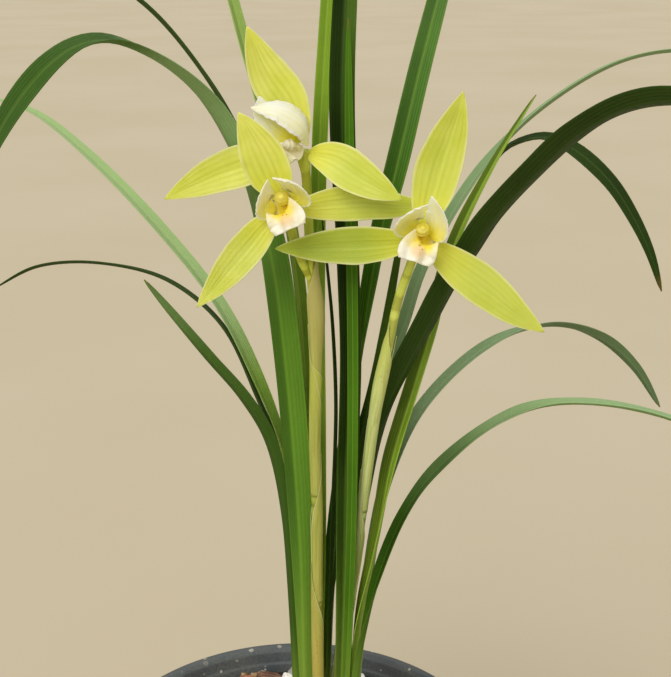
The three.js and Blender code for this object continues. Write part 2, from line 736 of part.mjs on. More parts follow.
// ---------------------------------------------------------------- blooms

// A bloom is placed by its centre. Each tepal follows a path of offsets from that centre, and
// `face` is the way its inner side looks at its foot.
const BLOOMS = [
  {
    name: 'bloom_top',
    centre: [4.1, -12, 294],
    tepals: {
      sepal_upper: {
        width: 10.6, face: [0.2, -1, 0.3],
        path: [
          [0, 1.1, 1.7], [-2, 1.8, 7], [-4, 1.5, 11.5], [-7, 0.8, 16], [-9.5, -0.6, 21],
          [-12, -2.5, 28],
        ],
      },
      sepal_right: {
        width: 9.4, face: [0.2, -1, 0.2],
        path: [[1.6, 0.7, -0.9], [7.5, -2, -2], [12, -4.2, -4.5], [16.5, -5.6, -7], [23, -6, -10.5]],
      },
      sepal_left: {
        width: 9.8, face: [0, -1, 0.1],
        path: [
          [-1.5, 0.9, -1], [-8, 1.6, -2.2], [-14.5, 2, -4], [-21.5, 2, -6.5], [-27, 1.5, -9],
          [-32.5, 0, -11.5],
        ],
      },
      petal_right: {
        width: 7.8, face: [-0.5, 0.5, -0.7],
        path: [[1.4, -1, 1.6], [0.4, -3, 6.2], [-4.8, -4.6, 9.8], [-11.4, -4.9, 10.4]],
      },
      petal_left: {
        width: 7.2, face: [0.3, -1, 0.2],
        path: [[-1.7, -0.7, 2.4], [-5.2, -1.6, 5.3], [-8.4, -2.2, 8.6], [-9.6, -2, 12.6]],
      },
    },
    lip: {
      width: 4.8, face: [0.2, 0, 1],
      path: [[-1.2, -2.6, -1.2], [-3, -4.1, -1], [-4.3, -4.7, -1.3], [-4.9, -4.9, -2.3]],
    },
    column: { radius: 1.1, path: [[-0.9, -2.6, 1.3], [-2.6, -3.9, 2], [-4.1, -4.8, 2.4]] },
  },
  {
    name: 'bloom_lower',
    centre: [0.4, -17, 281.6],
    tepals: {
      sepal_upper: {
        width: 10.6, face: [0, -1, -0.2],
        path: [[-0.5, 0.7, 1.9], [-2.9, -1.4, 7], [-5, -3.2, 12.5], [-7.8, -4.8, 18.5], [-10, -6, 22.5]],
      },
      sepal_right: {
        width: 8.4, face: [0, -1, 0.1],
        path: [[1.7, 0.8, -0.6], [11, 3.4, 0], [18, 5.2, 0], [27, 6.6, -1], [34.5, 7.2, -0.8]],
      },
      sepal_left: {
        width: 8.2, face: [0, -1, 0.1],
        path: [
          [-1.2, 0.7, -1.4], [-5, -0.6, -4.5], [-8, -1.6, -8], [-12, -3, -12.5],
          [-17, -3.5, -18.5], [-21, -4, -23],
        ],
      },
      petal_right: {
        width: 6.8, face: [-0.6, -0.6, -0.4],
        path: [[2.4, -0.7, 1.4], [3.9, -2.3, 3], [2.1, -4.7, 6.6], [-2.8, -6, 8.1]],
      },
      petal_left: {
        width: 6, face: [0.75, -0.65, 0],
        path: [[-2.7, -1, -0.3], [-5.2, -2.4, 0.4], [-5.2, -4.2, 3.4], [-4, -5.1, 7.4]],
      },
    },
    lip: {
      width: 9.2, face: [-0.36, -0.2, 0.9],
      path: [[-0.1, -1.9, -1.6], [-0.1, -4.4, -0.9], [0.2, -6.3, -1.5], [1.1, -7.2, -3.7]],
    },
    column: { radius: 2, path: [[-0.3, -2, 1.2], [-0.7, -3.5, 2.5], [-0.9, -4.8, 3.5]] },
  },
  {
    name: 'bloom_right',
    centre: [32.2, -16, 274],
    tepals: {
      sepal_upper: {
        width: 10.8, face: [0, -1, 0.1],
        path: [[0.2, 0.8, 1.8], [2, 2, 10], [4, 2, 18], [6.5, 1, 26], [8.5, -1, 34]],
      },
      sepal_right: {
        width: 9.6, face: [0, -1, 0.2],
        path: [[1.5, 0.7, -1.2], [8, -0.8, -6.5], [15, -2, -11.5], [22.5, -2.5, -17.5], [29.5, -2, -22.5]],
      },
      sepal_left: {
        width: 9, face: [0, -1, 0.1],
        path: [[-1.6, 0.7, -0.9], [-10, 0.5, -1.5], [-18.5, 1, -2], [-28, 1, -2.5], [-34.5, 0, -2.5]],
      },
      petal_right: {
        width: 6.2, face: [-0.6, -0.75, 0],
        path: [[2.2, -0.8, 0.4], [3.8, -2.4, 2.4], [3.6, -4, 6.5], [1.8, -5.2, 11.1]],
      },
      petal_left: {
        width: 6.8, face: [0.6, -0.6, -0.4],
        path: [[-2.5, -0.7, 1.5], [-4.9, -2.3, 3.5], [-3.6, -4.8, 6.9], [0.2, -6.4, 9.1]],
      },
    },
    lip: {
      width: 9.4, face: [0.25, -0.2, 0.95],
      path: [[0, -1.9, -1.5], [-0.3, -4.4, -0.7], [-1.1, -6.3, -1.5], [-2, -7.3, -3.9]],
    },
    column: { radius: 2.1, path: [[-0.1, -2, 1.2], [-0.2, -3.5, 2.6], [-0.2, -4.8, 3.7]] },
  },
];

// A tepal is lance-shaped and slightly cupped, with its margins lifted towards its inner side.
const tepalSection = (width) => (share, s) => {
  const outline = Math.sin(Math.PI * Math.min(1, share * 0.97 + 0.03) ** 0.85) ** 0.8;
  const half = Math.max(0.55, (width / 2) * outline);
  const cup = 0.1 * width * outline;
  return [half * s, cup * s * s];
};

// The lip is a trough with raised side lobes behind and a broad waved lobe in front.
const lipSection = (width) => (share, s) => {
  const front = smooth((share - 0.35) / 0.35);
  const close = smooth((share - 0.8) / 0.2);
  const spread = smooth((share - 0.3) / 0.35);
  const rise = width * LIP_SIDE_RISE * smooth((share + 0.02) / 0.22);
  const half = mix(width * mix(LIP_THROAT_SHARE, 0.5, spread), width * LIP_END_SHARE, close);
  const lift = mix(rise, -0.8, front) * s * s;
  const wave = front * 0.5 * Math.cos(s * 7);
  return [half * s, lift + wave];
};

const offsetPath = (centre, path) =>
  path.map((offset) => offset.map((value, axis) => value + centre[axis]));

for (const bloom of BLOOMS) {
  for (const [part, { width, face, path }] of Object.entries(bloom.tepals)) {
    const geometry = bladeGeometry({
      curve: curveThrough(offsetPath(bloom.centre, path)),
      face: vector(face),
      stations: TEPAL_STATIONS,
      columns: TEPAL_COLUMNS,
      section: tepalSection(width),
      thickness: TEPAL_THICKNESS,
    });
    addPiece(`${bloom.name}_${part}`, geometry, part.startsWith('petal') ? PETAL_PALE : SEPAL_GREEN);
  }
  const lip = bladeGeometry({
    curve: curveThrough(offsetPath(bloom.centre, bloom.lip.path)),
    face: vector(bloom.lip.face),
    stations: LIP_STATIONS,
    columns: LIP_COLUMNS,
    section: lipSection(bloom.lip.width),
    thickness: LIP_THICKNESS,
  });
  addPiece(`${bloom.name}_lip`, lip, LIP_WHITE);
  const column = rodGeometry({
    curve: curveThrough(offsetPath(bloom.centre, bloom.column.path)),
    face: new THREE.Vector3(0, 0, 1),
    stations: 7,
    sides: 8,
    radius: (share) => {
      const full = mix(COLUMN_FOOT_RADIUS, bloom.column.radius, smooth(share * 1.4));
      return share === 1 ? full * 0.6 : full;
    },
  });
  addPiece(`${bloom.name}_column`, column, COLUMN_CREAM);
}

export default group;
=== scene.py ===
"""A clump-forming ground orchid in flower, growing in a round black plastic pot.

The pot, the potting mix, the shoots, the stems, the leaves and the blooms are modelled over the
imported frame, in metres, with +Z up and the origin at the centre of the pot's underside. Sizes and
routes are written in millimetres and turned into metres where they are used.
"""

import logging
import math
from dataclasses import dataclass
from enum import Enum
from functools import cache
from random import Random
from typing import Callable, Sequence

import bmesh
import bpy
from mathutils import Matrix, Vector, noise

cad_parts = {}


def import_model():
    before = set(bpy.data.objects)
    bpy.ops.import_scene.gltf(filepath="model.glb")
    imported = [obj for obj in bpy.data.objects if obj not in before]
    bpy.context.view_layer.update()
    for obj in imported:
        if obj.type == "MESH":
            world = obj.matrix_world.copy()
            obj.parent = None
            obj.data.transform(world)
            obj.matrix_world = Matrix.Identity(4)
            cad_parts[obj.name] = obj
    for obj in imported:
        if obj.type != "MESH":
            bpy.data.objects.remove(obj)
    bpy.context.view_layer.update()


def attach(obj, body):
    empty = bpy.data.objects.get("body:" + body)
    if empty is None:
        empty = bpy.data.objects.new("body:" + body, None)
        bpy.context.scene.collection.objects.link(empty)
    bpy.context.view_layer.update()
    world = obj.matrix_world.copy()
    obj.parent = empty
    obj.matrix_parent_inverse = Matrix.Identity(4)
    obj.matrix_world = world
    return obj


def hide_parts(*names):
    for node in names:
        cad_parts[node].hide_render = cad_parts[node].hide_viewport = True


LOG = logging.getLogger("potted_orchid")
MM = 0.001
BODY = "root"
Point = tuple[float, float, float]
Colour = tuple[float, float, float, float]
Placing = tuple[Vector, Vector, float]


# ---------------------------------------------------------------- numbers and colours


def smooth(value: float) -> float:
    """Ease a share from 0 to 1 and hold it at both ends."""
    share = min(1.0, max(0.0, value))
    return share * share * (3.0 - 2.0 * share)


def blend(low: float, high: float, share: float) -> float:
    """Return the value a share of the way from low to high."""
    return low + (high - low) * share


def keyed(keys: Sequence[tuple[float, float]], share: float) -> float:
    """Ease from one key to the next and return the value at a share.

    Args:
        keys: Pairs of a share and the value there, in order.
        share: The share to look up.

    Returns:
        The eased value.
    """
    value = keys[0][1]
    for (start, before), (end, after) in zip(keys, keys[1:]):
        value += (after - before) * smooth((share - start) / (end - start))
    return value


def colour(code: str) -> Colour:
    """Turn a screen colour into linear light.

    Args:
        code: The colour as six hex digits.

    Returns:
        Red, green, blue and an alpha of 1.
    """
    parts = []
    for start in (0, 2, 4):
        value = int(code[start : start + 2], 16) / 255.0
        parts.append(value / 12.92 if value <= 0.04045 else ((value + 0.055) / 1.055) ** 2.4)
    return parts[0], parts[1], parts[2], 1.0


# ---------------------------------------------------------------- routes


@dataclass(frozen=True)
class Station:
    """A place on a route, with the directions along, across and out of it."""

    origin: Vector
    tangent: Vector
    side: Vector
    normal: Vector


class Route:
    """A smooth line through points, with a frame that follows it without spinning round it."""

    SAMPLES = 240
    NUDGE = 1e-4

    def __init__(
        self,
        points: Sequence[Point],
        face: Point,
        twist: Callable[[float], float] | None = None,
    ) -> None:
        """Work out the line and its frames.

        Args:
            points: The points that the line passes through, in millimetres.
            face: The way the normal points at the start.
            twist: The extra turn in degrees at a share of the length.
        """
        self.points = [Vector(point) * MM for point in points]
        self.steps = self._even_steps()
        self.stations = self._frames(Vector(face), twist)

    def _point(self, t: float) -> Vector:
        """Return the centripetal curve's point at a parameter from 0 to 1.

        Args:
            t: The curve's own parameter.

        Returns:
            The place in metres.
        """
        points = self.points
        reach = (len(points) - 1) * t
        first = min(max(int(math.floor(reach)), 0), len(points) - 2)
        weight = reach - first
        b, c = points[first], points[first + 1]
        a = points[first - 1] if first > 0 else b * 2.0 - c
        d = points[first + 2] if first + 2 < len(points) else c * 2.0 - b
        gap_ab, gap_bc, gap_cd = (math.sqrt((q - p).length) for p, q in ((a, b), (b, c), (c, d)))
        leave = ((b - a) / gap_ab - (c - a) / (gap_ab + gap_bc) + (c - b) / gap_bc) * gap_bc
        arrive = ((c - b) / gap_bc - (d - b) / (gap_bc + gap_cd) + (d - c) / gap_cd) * gap_bc
        bend = b * 2.0 - c * 2.0 + leave + arrive
        sweep = b * -3.0 + c * 3.0 - leave * 2.0 - arrive
        return b + leave * weight + sweep * weight**2 + bend * weight**3

    def _even_steps(self) -> list[float]:
        """Measure the curve and share its length out.

        Returns:
            The curve's parameters at even steps along its length.
        """
        count = self.SAMPLES * 2
        places = [self._point(i / count) for i in range(count + 1)]
        reach = [0.0]
        for before, after in zip(places, places[1:]):
            reach.append(reach[-1] + (after - before).length)
        steps, at = [], 0
        for i in range(self.SAMPLES + 1):
            wanted = reach[-1] * i / self.SAMPLES
            while at < count - 1 and reach[at + 1] < wanted:
                at += 1
            span = reach[at + 1] - reach[at]
            steps.append((at + (wanted - reach[at]) / span) / count)
        return steps

    def _frames(self, face: Vector, twist: Callable[[float], float] | None) -> list[Station]:
        """Carry the normal along the line.

        Args:
            face: The way the normal points at the start.
            twist: The extra turn in degrees at a share of the length.

        Returns:
            One station for each even step.
        """
        frames = []
        normal = face.copy()
        for i, t in enumerate(self.steps):
            ahead, behind = self._point(min(1.0, t + self.NUDGE)), self._point(max(0.0, t - self.NUDGE))
            tangent = (ahead - behind).normalized()
            normal = (normal - tangent * normal.dot(tangent)).normalized()
            turned = normal
            if twist is not None:
                turn = math.radians(twist(i / self.SAMPLES))
                turned = Matrix.Rotation(turn, 3, tangent) @ normal
            side = turned.cross(tangent).normalized()
            frames.append(Station(self._point(t), tangent, side, turned))
        return frames

    def at(self, share: float) -> Station:
        """Return the station at a share of the length.

        Args:
            share: From 0 at the start to 1 at the end.

        Returns:
            A station between the two nearest ones.
        """
        reach = min(1.0, max(0.0, share)) * self.SAMPLES
        low = min(int(reach), self.SAMPLES - 1)
        part = reach - low
        a, b = self.stations[low], self.stations[low + 1]
        return Station(
            a.origin.lerp(b.origin, part),
            a.tangent.lerp(b.tangent, part).normalized(),
            a.side.lerp(b.side, part).normalized(),
            a.normal.lerp(b.normal, part).normalized(),
        )


# ---------------------------------------------------------------- sheets, blades and rods


def finish_object(name: str, bm: bmesh.types.BMesh, rounding: int = 0) -> bpy.types.Object:
    """Make a smooth object of a finished bmesh and link it.

    Args:
        name: The piece's name.
        bm: The finished shape, which is freed.
        rounding: Levels of subdivision that round the shape.

    Returns:
        The new object, at the origin.
    """
    bmesh.ops.recalc_face_normals(bm, faces=bm.faces[:])
    for face in bm.faces:
        face.smooth = True
    mesh = bpy.data.meshes.new(name)
    bm.to_mesh(mesh)
    bm.free()
    piece = bpy.data.objects.new(name, mesh)
    bpy.context.scene.collection.objects.link(piece)
    if rounding:
        soften = piece.modifiers.new("rounding", "SUBSURF")
        soften.levels = rounding
        soften.render_levels = rounding
    return piece


def vector_layer(bm: bmesh.types.BMesh, name: str) -> bmesh.types.BMLayerItem:
    """Return a bmesh's vector attribute.

    Making it the first time drops every reference to a vertex, so it comes before them.

    Args:
        bm: The bmesh.
        name: The attribute's name.

    Returns:
        The attribute's layer.
    """
    layers = bm.verts.layers.float_vector
    return layers.get(name) or layers.new(name)


def spin_outline(bm: bmesh.types.BMesh, outline: Sequence[tuple[float, float]], steps: int) -> None:
    """Spin an outline a full turn round the Z axis into a closed shell.

    Args:
        bm: The bmesh to add to.
        outline: Each corner's distance from the axis and its height, in millimetres.
        steps: Faces round the shell.
    """
    verts = [bm.verts.new((radius * MM, 0.0, height * MM)) for radius, height in outline]
    edges = [bm.edges.new(pair) for pair in zip(verts, verts[1:])]
    bmesh.ops.spin(
        bm,
        geom=verts + edges,
        cent=(0.0, 0.0, 0.0),
        axis=(0.0, 0.0, 1.0),
        dvec=(0.0, 0.0, 0.0),
        angle=math.tau,
        steps=steps,
        use_merge=True,
    )
    bmesh.ops.remove_doubles(bm, verts=bm.verts[:], dist=0.01 * MM)


def add_sheet(
    bm: bmesh.types.BMesh,
    rows: int,
    columns: int,
    place: Callable[[float, float], Placing],
) -> None:
    """Add a thin closed sheet to a bmesh: a grid, extruded to two faces and laid on its surface.

    Each vertex keeps where it lies on the sheet in the attribute `blade`: across from -1 to 1,
    along from 0 to 1, and 1 on the upper face or -1 on the lower one.

    Args:
        bm: The bmesh to add to.
        rows: Cells along the sheet.
        columns: Cells across it.
        place: Gives the middle surface's point, its normal and half the thickness there, for a
            share along and a place across.
    """
    layer = vector_layer(bm, "blade")
    grid = bmesh.ops.create_grid(bm, x_segments=columns, y_segments=rows, size=1.0)
    upper = grid["verts"]
    faces = list({face for vert in upper for face in vert.link_faces})
    made = bmesh.ops.extrude_face_region(bm, geom=faces)
    lower = [part for part in made["geom"] if isinstance(part, bmesh.types.BMVert)]
    for verts, sign in ((upper, 1.0), (lower, -1.0)):
        for vert in verts:
            across = math.sin(vert.co.x * math.pi / 2.0)
            along = (vert.co.y + 1.0) / 2.0
            middle, normal, half = place(along, across)
            vert[layer] = (across, along, sign)
            vert.co = middle + normal * (half * sign)


@dataclass
class Blade:
    """A thin blade along a route: a leaf, a sheath, a sepal, a petal or a lip.

    Its section gives the offsets to the side and along the normal, and its thickness is in
    millimetres. Both take the share along and the place across.
    """

    SLOPE_STEP = 0.02

    route: Route
    section: Callable[[float, float], tuple[float, float]]
    thickness: Callable[[float, float], float]
    rows: int = 32
    columns: int = 12

    def place(self, along: float, across: float) -> Placing:
        """Find the middle surface of the blade.

        Args:
            along: The share of the length.
            across: From -1 at one margin to 1 at the other.

        Returns:
            The point, the surface's normal and half the thickness.
        """
        station = self.route.at(along)
        a, b = self.section(along, across)
        near_a, near_b = self.section(along, across - self.SLOPE_STEP)
        far_a, far_b = self.section(along, across + self.SLOPE_STEP)
        run, rise = far_a - near_a, far_b - near_b
        normal = (station.side * -rise + station.normal * run).normalized()
        point = station.origin + station.side * (a * MM) + station.normal * (b * MM)
        return point, normal, self.thickness(along, across) * MM / 2.0

    def add(self, bm: bmesh.types.BMesh) -> None:
        """Add the blade to a bmesh."""
        add_sheet(bm, self.rows, self.columns, self.place)


@dataclass
class Rod:
    """A round rod along a route, whose radius goes by the share along and the angle round it.

    Its attribute `skin` holds the way round and the share along.
    """

    route: Route
    radius: Callable[[float, float], float]
    sides: int = 16
    rows: int = 40

    def add(self, bm: bmesh.types.BMesh) -> None:
        """Add the rod: a capped circle, extruded from station to station.

        Args:
            bm: The bmesh to add to.
        """
        layer = vector_layer(bm, "skin")
        ring = bmesh.ops.create_circle(bm, cap_ends=True, segments=self.sides, radius=1.0)["verts"]
        for vert in ring:
            vert[layer] = (vert.co.x, vert.co.y, 0.0)
        cap = ring[0].link_faces[0]
        self._settle(ring, 0.0, layer)
        for row in range(1, self.rows + 1):
            made = bmesh.ops.extrude_face_region(bm, geom=[cap])
            cap = next(part for part in made["geom"] if isinstance(part, bmesh.types.BMFace))
            self._settle(list(cap.verts), row / self.rows, layer)

    def _settle(
        self, ring: Sequence[bmesh.types.BMVert], share: float, layer: bmesh.types.BMLayerItem
    ) -> None:
        """Lay one ring on the rod's surface.

        Args:
            ring: The ring's vertices.
            share: The share of the length.
            layer: The attribute that holds each vertex's way round.
        """
        station = self.route.at(share)
        for vert in ring:
            x, y, _ = vert[layer]
            reach = self.radius(share, math.atan2(y, x)) * MM
            vert[layer] = (x, y, share)
            vert.co = station.origin + station.side * (x * reach) + station.normal * (y * reach)


# ---------------------------------------------------------------- shader building


Socket = bpy.types.NodeSocket
Value = Socket | float
Tint = Socket | str


class Graph:
    """A node tree being built, with one short method for each kind of node that is used."""

    def __init__(self, tree: bpy.types.NodeTree) -> None:
        """Start from an empty tree."""
        self.tree = tree
        tree.nodes.clear()

    def node(self, kind: str, **settings: object) -> bpy.types.Node:
        """Add a node and set its options.

        Args:
            kind: The node's type name.
            **settings: Options of the node.

        Returns:
            The node.
        """
        made = self.tree.nodes.new(kind)
        for name, value in settings.items():
            setattr(made, name, value)
        return made

    def feed(self, socket: Socket, value: object) -> None:
        """Link a socket into another one, or set its plain value.

        Args:
            socket: The input to fill.
            value: An output socket, a number, a vector or a colour.
        """
        if isinstance(value, Socket):
            self.tree.links.new(value, socket)
        else:
            socket.default_value = value

    def math(self, operation: str, *values: Value, clamp: bool = False) -> Socket:
        """Add a sum on numbers.

        Args:
            operation: The Math node's operation.
            *values: Its inputs in order.
            clamp: Whether the result is held between 0 and 1.

        Returns:
            The result.
        """
        made = self.node("ShaderNodeMath", operation=operation, use_clamp=clamp)
        for socket, value in zip(made.inputs, values):
            self.feed(socket, value)
        return made.outputs[0]

    def times(self, first: Socket, *others: Value) -> Socket:
        """Multiply a value by one or more others.

        Args:
            first: The first value.
            *others: What it is multiplied by.

        Returns:
            The product.
        """
        product = first
        for other in others:
            product = self.math("MULTIPLY", product, other)
        return product

    def tuned(self, value: Value, gain: Value, base: Value) -> Socket:
        """Multiply a value by a gain and add a base."""
        return self.math("MULTIPLY_ADD", value, gain, base)

    def scaled(self, value: Value, low: float, high: float) -> Socket:
        """Stretch a range of values smoothly to 0..1.

        Args:
            value: The value to stretch.
            low: Where it gives 0.
            high: Where it gives 1, which may be less than low.

        Returns:
            The stretched value.
        """
        made = self.node("ShaderNodeMapRange", interpolation_type="SMOOTHSTEP")
        self.feed(made.inputs["Value"], value)
        made.inputs["From Min"].default_value = low
        made.inputs["From Max"].default_value = high
        return made.outputs["Result"]

    def mix(self, share: Value, first: Tint, second: Tint) -> Socket:
        """Mix two colours.

        Args:
            share: How much of the second.
            first: The colour at 0, a socket or six hex digits.
            second: The colour at 1, a socket or six hex digits.

        Returns:
            The mixed colour.
        """
        made = self.node("ShaderNodeMix", data_type="RGBA")
        self.feed(made.inputs[0], share)
        for socket, tint in ((made.inputs[6], first), (made.inputs[7], second)):
            self.feed(socket, colour(tint) if isinstance(tint, str) else tint)
        return made.outputs[2]

    def noise(self, vector: Socket, scale: Value, detail: float = 2.0) -> Socket:
        """Add soft noise.

        Args:
            vector: The place that it is read at.
            scale: How fine it is.
            detail: How many finer layers it has.

        Returns:
            The noise, about 0.5 on average.
        """
        made = self.node("ShaderNodeTexNoise")
        self.feed(made.inputs["Vector"], vector)
        self.feed(made.inputs["Scale"], scale)
        made.inputs["Detail"].default_value = detail
        return made.outputs[0]

    def vector(self, x: Value, y: Value, z: Value) -> Socket:
        """Join three values into a vector.

        Args:
            x: The first value.
            y: The second value.
            z: The third value.

        Returns:
            The vector.
        """
        made = self.node("ShaderNodeCombineXYZ")
        for socket, value in zip(made.inputs, (x, y, z)):
            self.feed(socket, value)
        return made.outputs[0]

    def split(self, vector: Socket) -> tuple[Socket, Socket, Socket]:
        """Split a vector.

        Args:
            vector: The vector to split.

        Returns:
            Its three parts.
        """
        made = self.node("ShaderNodeSeparateXYZ")
        self.feed(made.inputs[0], vector)
        return made.outputs[0], made.outputs[1], made.outputs[2]

    def parts(self, name: str) -> tuple[Socket, Socket, Socket]:
        """Read a vector attribute of the mesh, split into its three parts."""
        return self.split(self.node("ShaderNodeAttribute", attribute_name=name).outputs["Vector"])

    def place(self) -> Socket:
        """Read the object coordinates, in metres."""
        return self.node("ShaderNodeTexCoord").outputs["Object"]


class Effect(Graph):
    """A node group that more than one finish places, with its named sockets."""

    def __init__(self, name: str, inputs: dict[str, float | None], outputs: Sequence[str]) -> None:
        """Make an empty group with its sockets.

        Args:
            name: The group's name.
            inputs: Each input's name and plain value, which is None for a vector.
            outputs: The names of the values that it puts out.
        """
        super().__init__(bpy.data.node_groups.new(name, "ShaderNodeTree"))
        sockets = self.tree.interface
        for label, value in inputs.items():
            if value is None:
                sockets.new_socket(label, in_out="INPUT", socket_type="NodeSocketVector")
            else:
                socket = sockets.new_socket(label, in_out="INPUT", socket_type="NodeSocketFloat")
                socket.default_value = value
        for label in outputs:
            sockets.new_socket(label, in_out="OUTPUT", socket_type="NodeSocketFloat")
        self.source = self.node("NodeGroupInput")
        self.sink = self.node("NodeGroupOutput")

    def given(self, label: str) -> Socket:
        """Return what comes in at a named input."""
        return self.source.outputs[label]

    def give(self, label: str, value: Socket) -> None:
        """Put a value out at a named output."""
        self.feed(self.sink.inputs[label], value)


@cache
def parallel_ribs() -> bpy.types.NodeTree:
    """Build the veins that run the length of a blade and meet at its tip.

    Returns:
        A group that puts out the fine ribs, the midrib and the margin.
    """
    inputs = {"Across": 0.0, "Along": 0.0, "Count": 12.0, "Wander": 0.4}
    effect = Effect("parallel ribs", inputs, ["Ribs", "Midrib", "Margin"])
    across, along = effect.given("Across"), effect.given("Along")
    drift = effect.noise(effect.vector(across, effect.times(along, 5.0), 0.0), 1.6)
    drift = effect.times(effect.math("SUBTRACT", drift, 0.5), effect.given("Wander"))
    turns = effect.times(effect.tuned(across, effect.given("Count"), drift), math.pi)
    wave = effect.tuned(effect.math("COSINE", turns), 0.5, 0.5)
    stretched = effect.vector(effect.times(across, 9.0), effect.times(along, 1.3), 2.0)
    streak = effect.scaled(effect.noise(stretched, 1.5, 4.0), 0.25, 0.65)
    effect.give("Ribs", effect.times(wave, streak))
    reach = effect.math("ABSOLUTE", across)
    effect.give("Midrib", effect.scaled(reach, 0.2, 0.02))
    effect.give("Margin", effect.scaled(reach, 0.82, 1.0))
    return effect.tree


@cache
def mottle() -> bpy.types.NodeTree:
    """Build soft uneven patches and a finer grain.

    Returns:
        A group that puts out patches and grain, both from 0 to 1.
    """
    effect = Effect("mottle", {"Vector": None, "Scale": 60.0}, ["Patches", "Grain"])
    for label, finer, detail in (("Patches", 1.0, 3.0), ("Grain", 9.0, 5.0)):
        scale = effect.times(effect.given("Scale"), finer)
        cloud = effect.noise(effect.given("Vector"), scale, detail)
        effect.give(label, effect.scaled(cloud, 0.3, 0.7))
    return effect.tree


@cache
def scattered_specks() -> bpy.types.NodeTree:
    """Build small scattered specks of uneven size.

    Returns:
        A group that puts out the specks' mask.
    """
    effect = Effect("specks", {"Vector": None, "Scale": 400.0, "Amount": 0.3}, ["Specks"])
    cells = effect.node("ShaderNodeTexVoronoi")
    effect.feed(cells.inputs["Vector"], effect.given("Vector"))
    effect.feed(cells.inputs["Scale"], effect.given("Scale"))
    random = effect.node("ShaderNodeSeparateColor")
    effect.feed(random.inputs[0], cells.outputs["Color"])
    chosen = effect.math("LESS_THAN", random.outputs[0], effect.given("Amount"))
    size = effect.tuned(random.outputs[1], 0.3, 0.12)
    dot = effect.scaled(effect.math("SUBTRACT", size, cells.outputs["Distance"]), 0.0, 0.12)
    effect.give("Specks", effect.times(dot, chosen))
    return effect.tree


class Paint(Graph):
    """The graph of a material: its shader, and the steps and effects that finishes are made of."""

    RELIEF_STRENGTH = 0.7

    def __init__(self, material: bpy.types.Material) -> None:
        """Start a material with its shader.

        Args:
            material: The new material.
        """
        material.use_nodes = True
        super().__init__(material.node_tree)
        self.shader = self.node("ShaderNodeBsdfPrincipled")
        output = self.node("ShaderNodeOutputMaterial")
        self.feed(output.inputs["Surface"], self.shader.outputs["BSDF"])

    def effect(self, tree: bpy.types.NodeTree, **inputs: object) -> list[Socket]:
        """Place a shared effect and fill its inputs.

        Args:
            tree: The effect's node group.
            **inputs: Values by the inputs' names.

        Returns:
            What it puts out.
        """
        made = self.node("ShaderNodeGroup", node_tree=tree)
        for name, value in inputs.items():
            self.feed(made.inputs[name], value)
        return list(made.outputs)

    def ribbed(self, across: Socket, along: Socket, count: float, wander: float) -> list[Socket]:
        """Place the parallel veins.

        Args:
            across: From -1 at one margin to 1 at the other.
            along: The share of the length.
            count: How many veins lie on each side of the keel.
            wander: How far they stray.

        Returns:
            The ribs, the midrib and the margin.
        """
        return self.effect(parallel_ribs(), Across=across, Along=along, Count=count, Wander=wander)

    def mottled(self, scale: float) -> list[Socket]:
        """Place soft patches and their grain, and return both."""
        return self.effect(mottle(), Vector=self.place(), Scale=scale)

    def specked(self, scale: float, amount: float) -> Socket:
        """Place scattered specks and return their mask."""
        return self.effect(scattered_specks(), Vector=self.place(), Scale=scale, Amount=amount)[0]

    def rising(self, levels: tuple[float, float]) -> Socket:
        """Return 0 at the first level, in millimetres, and 1 at the second."""
        return self.scaled(self.split(self.place())[2], levels[0] * MM, levels[1] * MM)

    def lay(self, tint: Tint, over: str, mask: Socket, amount: float = 1.0) -> Socket:
        """Lay a colour over a tint.

        Args:
            tint: What is below.
            over: The colour that goes on.
            mask: Where it goes, from 0 to 1.
            amount: How much of it goes on where the mask is 1.

        Returns:
            The new tint.
        """
        return self.mix(mask if amount == 1.0 else self.times(mask, amount), tint, over)

    def cover(self, tint: Socket, rough: Value, gloss: float = 0.5) -> None:
        """Give the shader its colour, roughness and gloss.

        Args:
            tint: The colour.
            rough: The roughness.
            gloss: How strongly it reflects.
        """
        self.feed(self.shader.inputs["Base Color"], tint)
        self.feed(self.shader.inputs["Roughness"], rough)
        self.shader.inputs["Specular IOR Level"].default_value = gloss

    def glow(self, weight: float, reach: Point, scale_mm: float) -> None:
        """Let light into the flesh.

        Args:
            weight: How much of the light goes in.
            reach: How far red, green and blue travel, as shares of the scale.
            scale_mm: The scale.
        """
        self.shader.inputs["Subsurface Weight"].default_value = weight
        self.shader.inputs["Subsurface Radius"].default_value = reach
        self.shader.inputs["Subsurface Scale"].default_value = scale_mm * MM

    def relief(self, height: Socket, depth_mm: float) -> None:
        """Let a height pattern bend the shader's normal.

        Args:
            height: The pattern from 0 to 1.
            depth_mm: How deep it goes.
        """
        bump = self.node("ShaderNodeBump")
        bump.inputs["Strength"].default_value = self.RELIEF_STRENGTH
        bump.inputs["Distance"].default_value = depth_mm * MM
        self.feed(bump.inputs["Height"], height)
        self.feed(self.shader.inputs["Normal"], bump.outputs["Normal"])


# ---------------------------------------------------------------- finishes


class Finish:
    """A finish, whose one material is shared by all the pieces that have it."""

    name: str
    slot: str

    def build(self, paint: Paint) -> None:
        """Paint the finish."""
        raise NotImplementedError

    @cache
    def material(self) -> bpy.types.Material:
        """Build the finish's material the first time.

        Returns:
            The material.
        """
        made = bpy.data.materials.new(self.name)
        self.build(Paint(made))
        return made


def dress(piece: bpy.types.Object, finish: Finish, nodes: Sequence[str] = ()) -> None:
    """Give a piece its finish and its place in the frame.

    Args:
        piece: The finished object.
        finish: Its finish, whose material goes on the piece.
        nodes: The frame's nodes that it stands for.
    """
    material, slot = finish.material(), finish.slot
    piece.data.materials.append(material)
    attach(piece, BODY)
    if nodes:
        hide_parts(*nodes)
    LOG.info("%s: %d faces, %s", piece.name, len(piece.data.polygons), material.name)


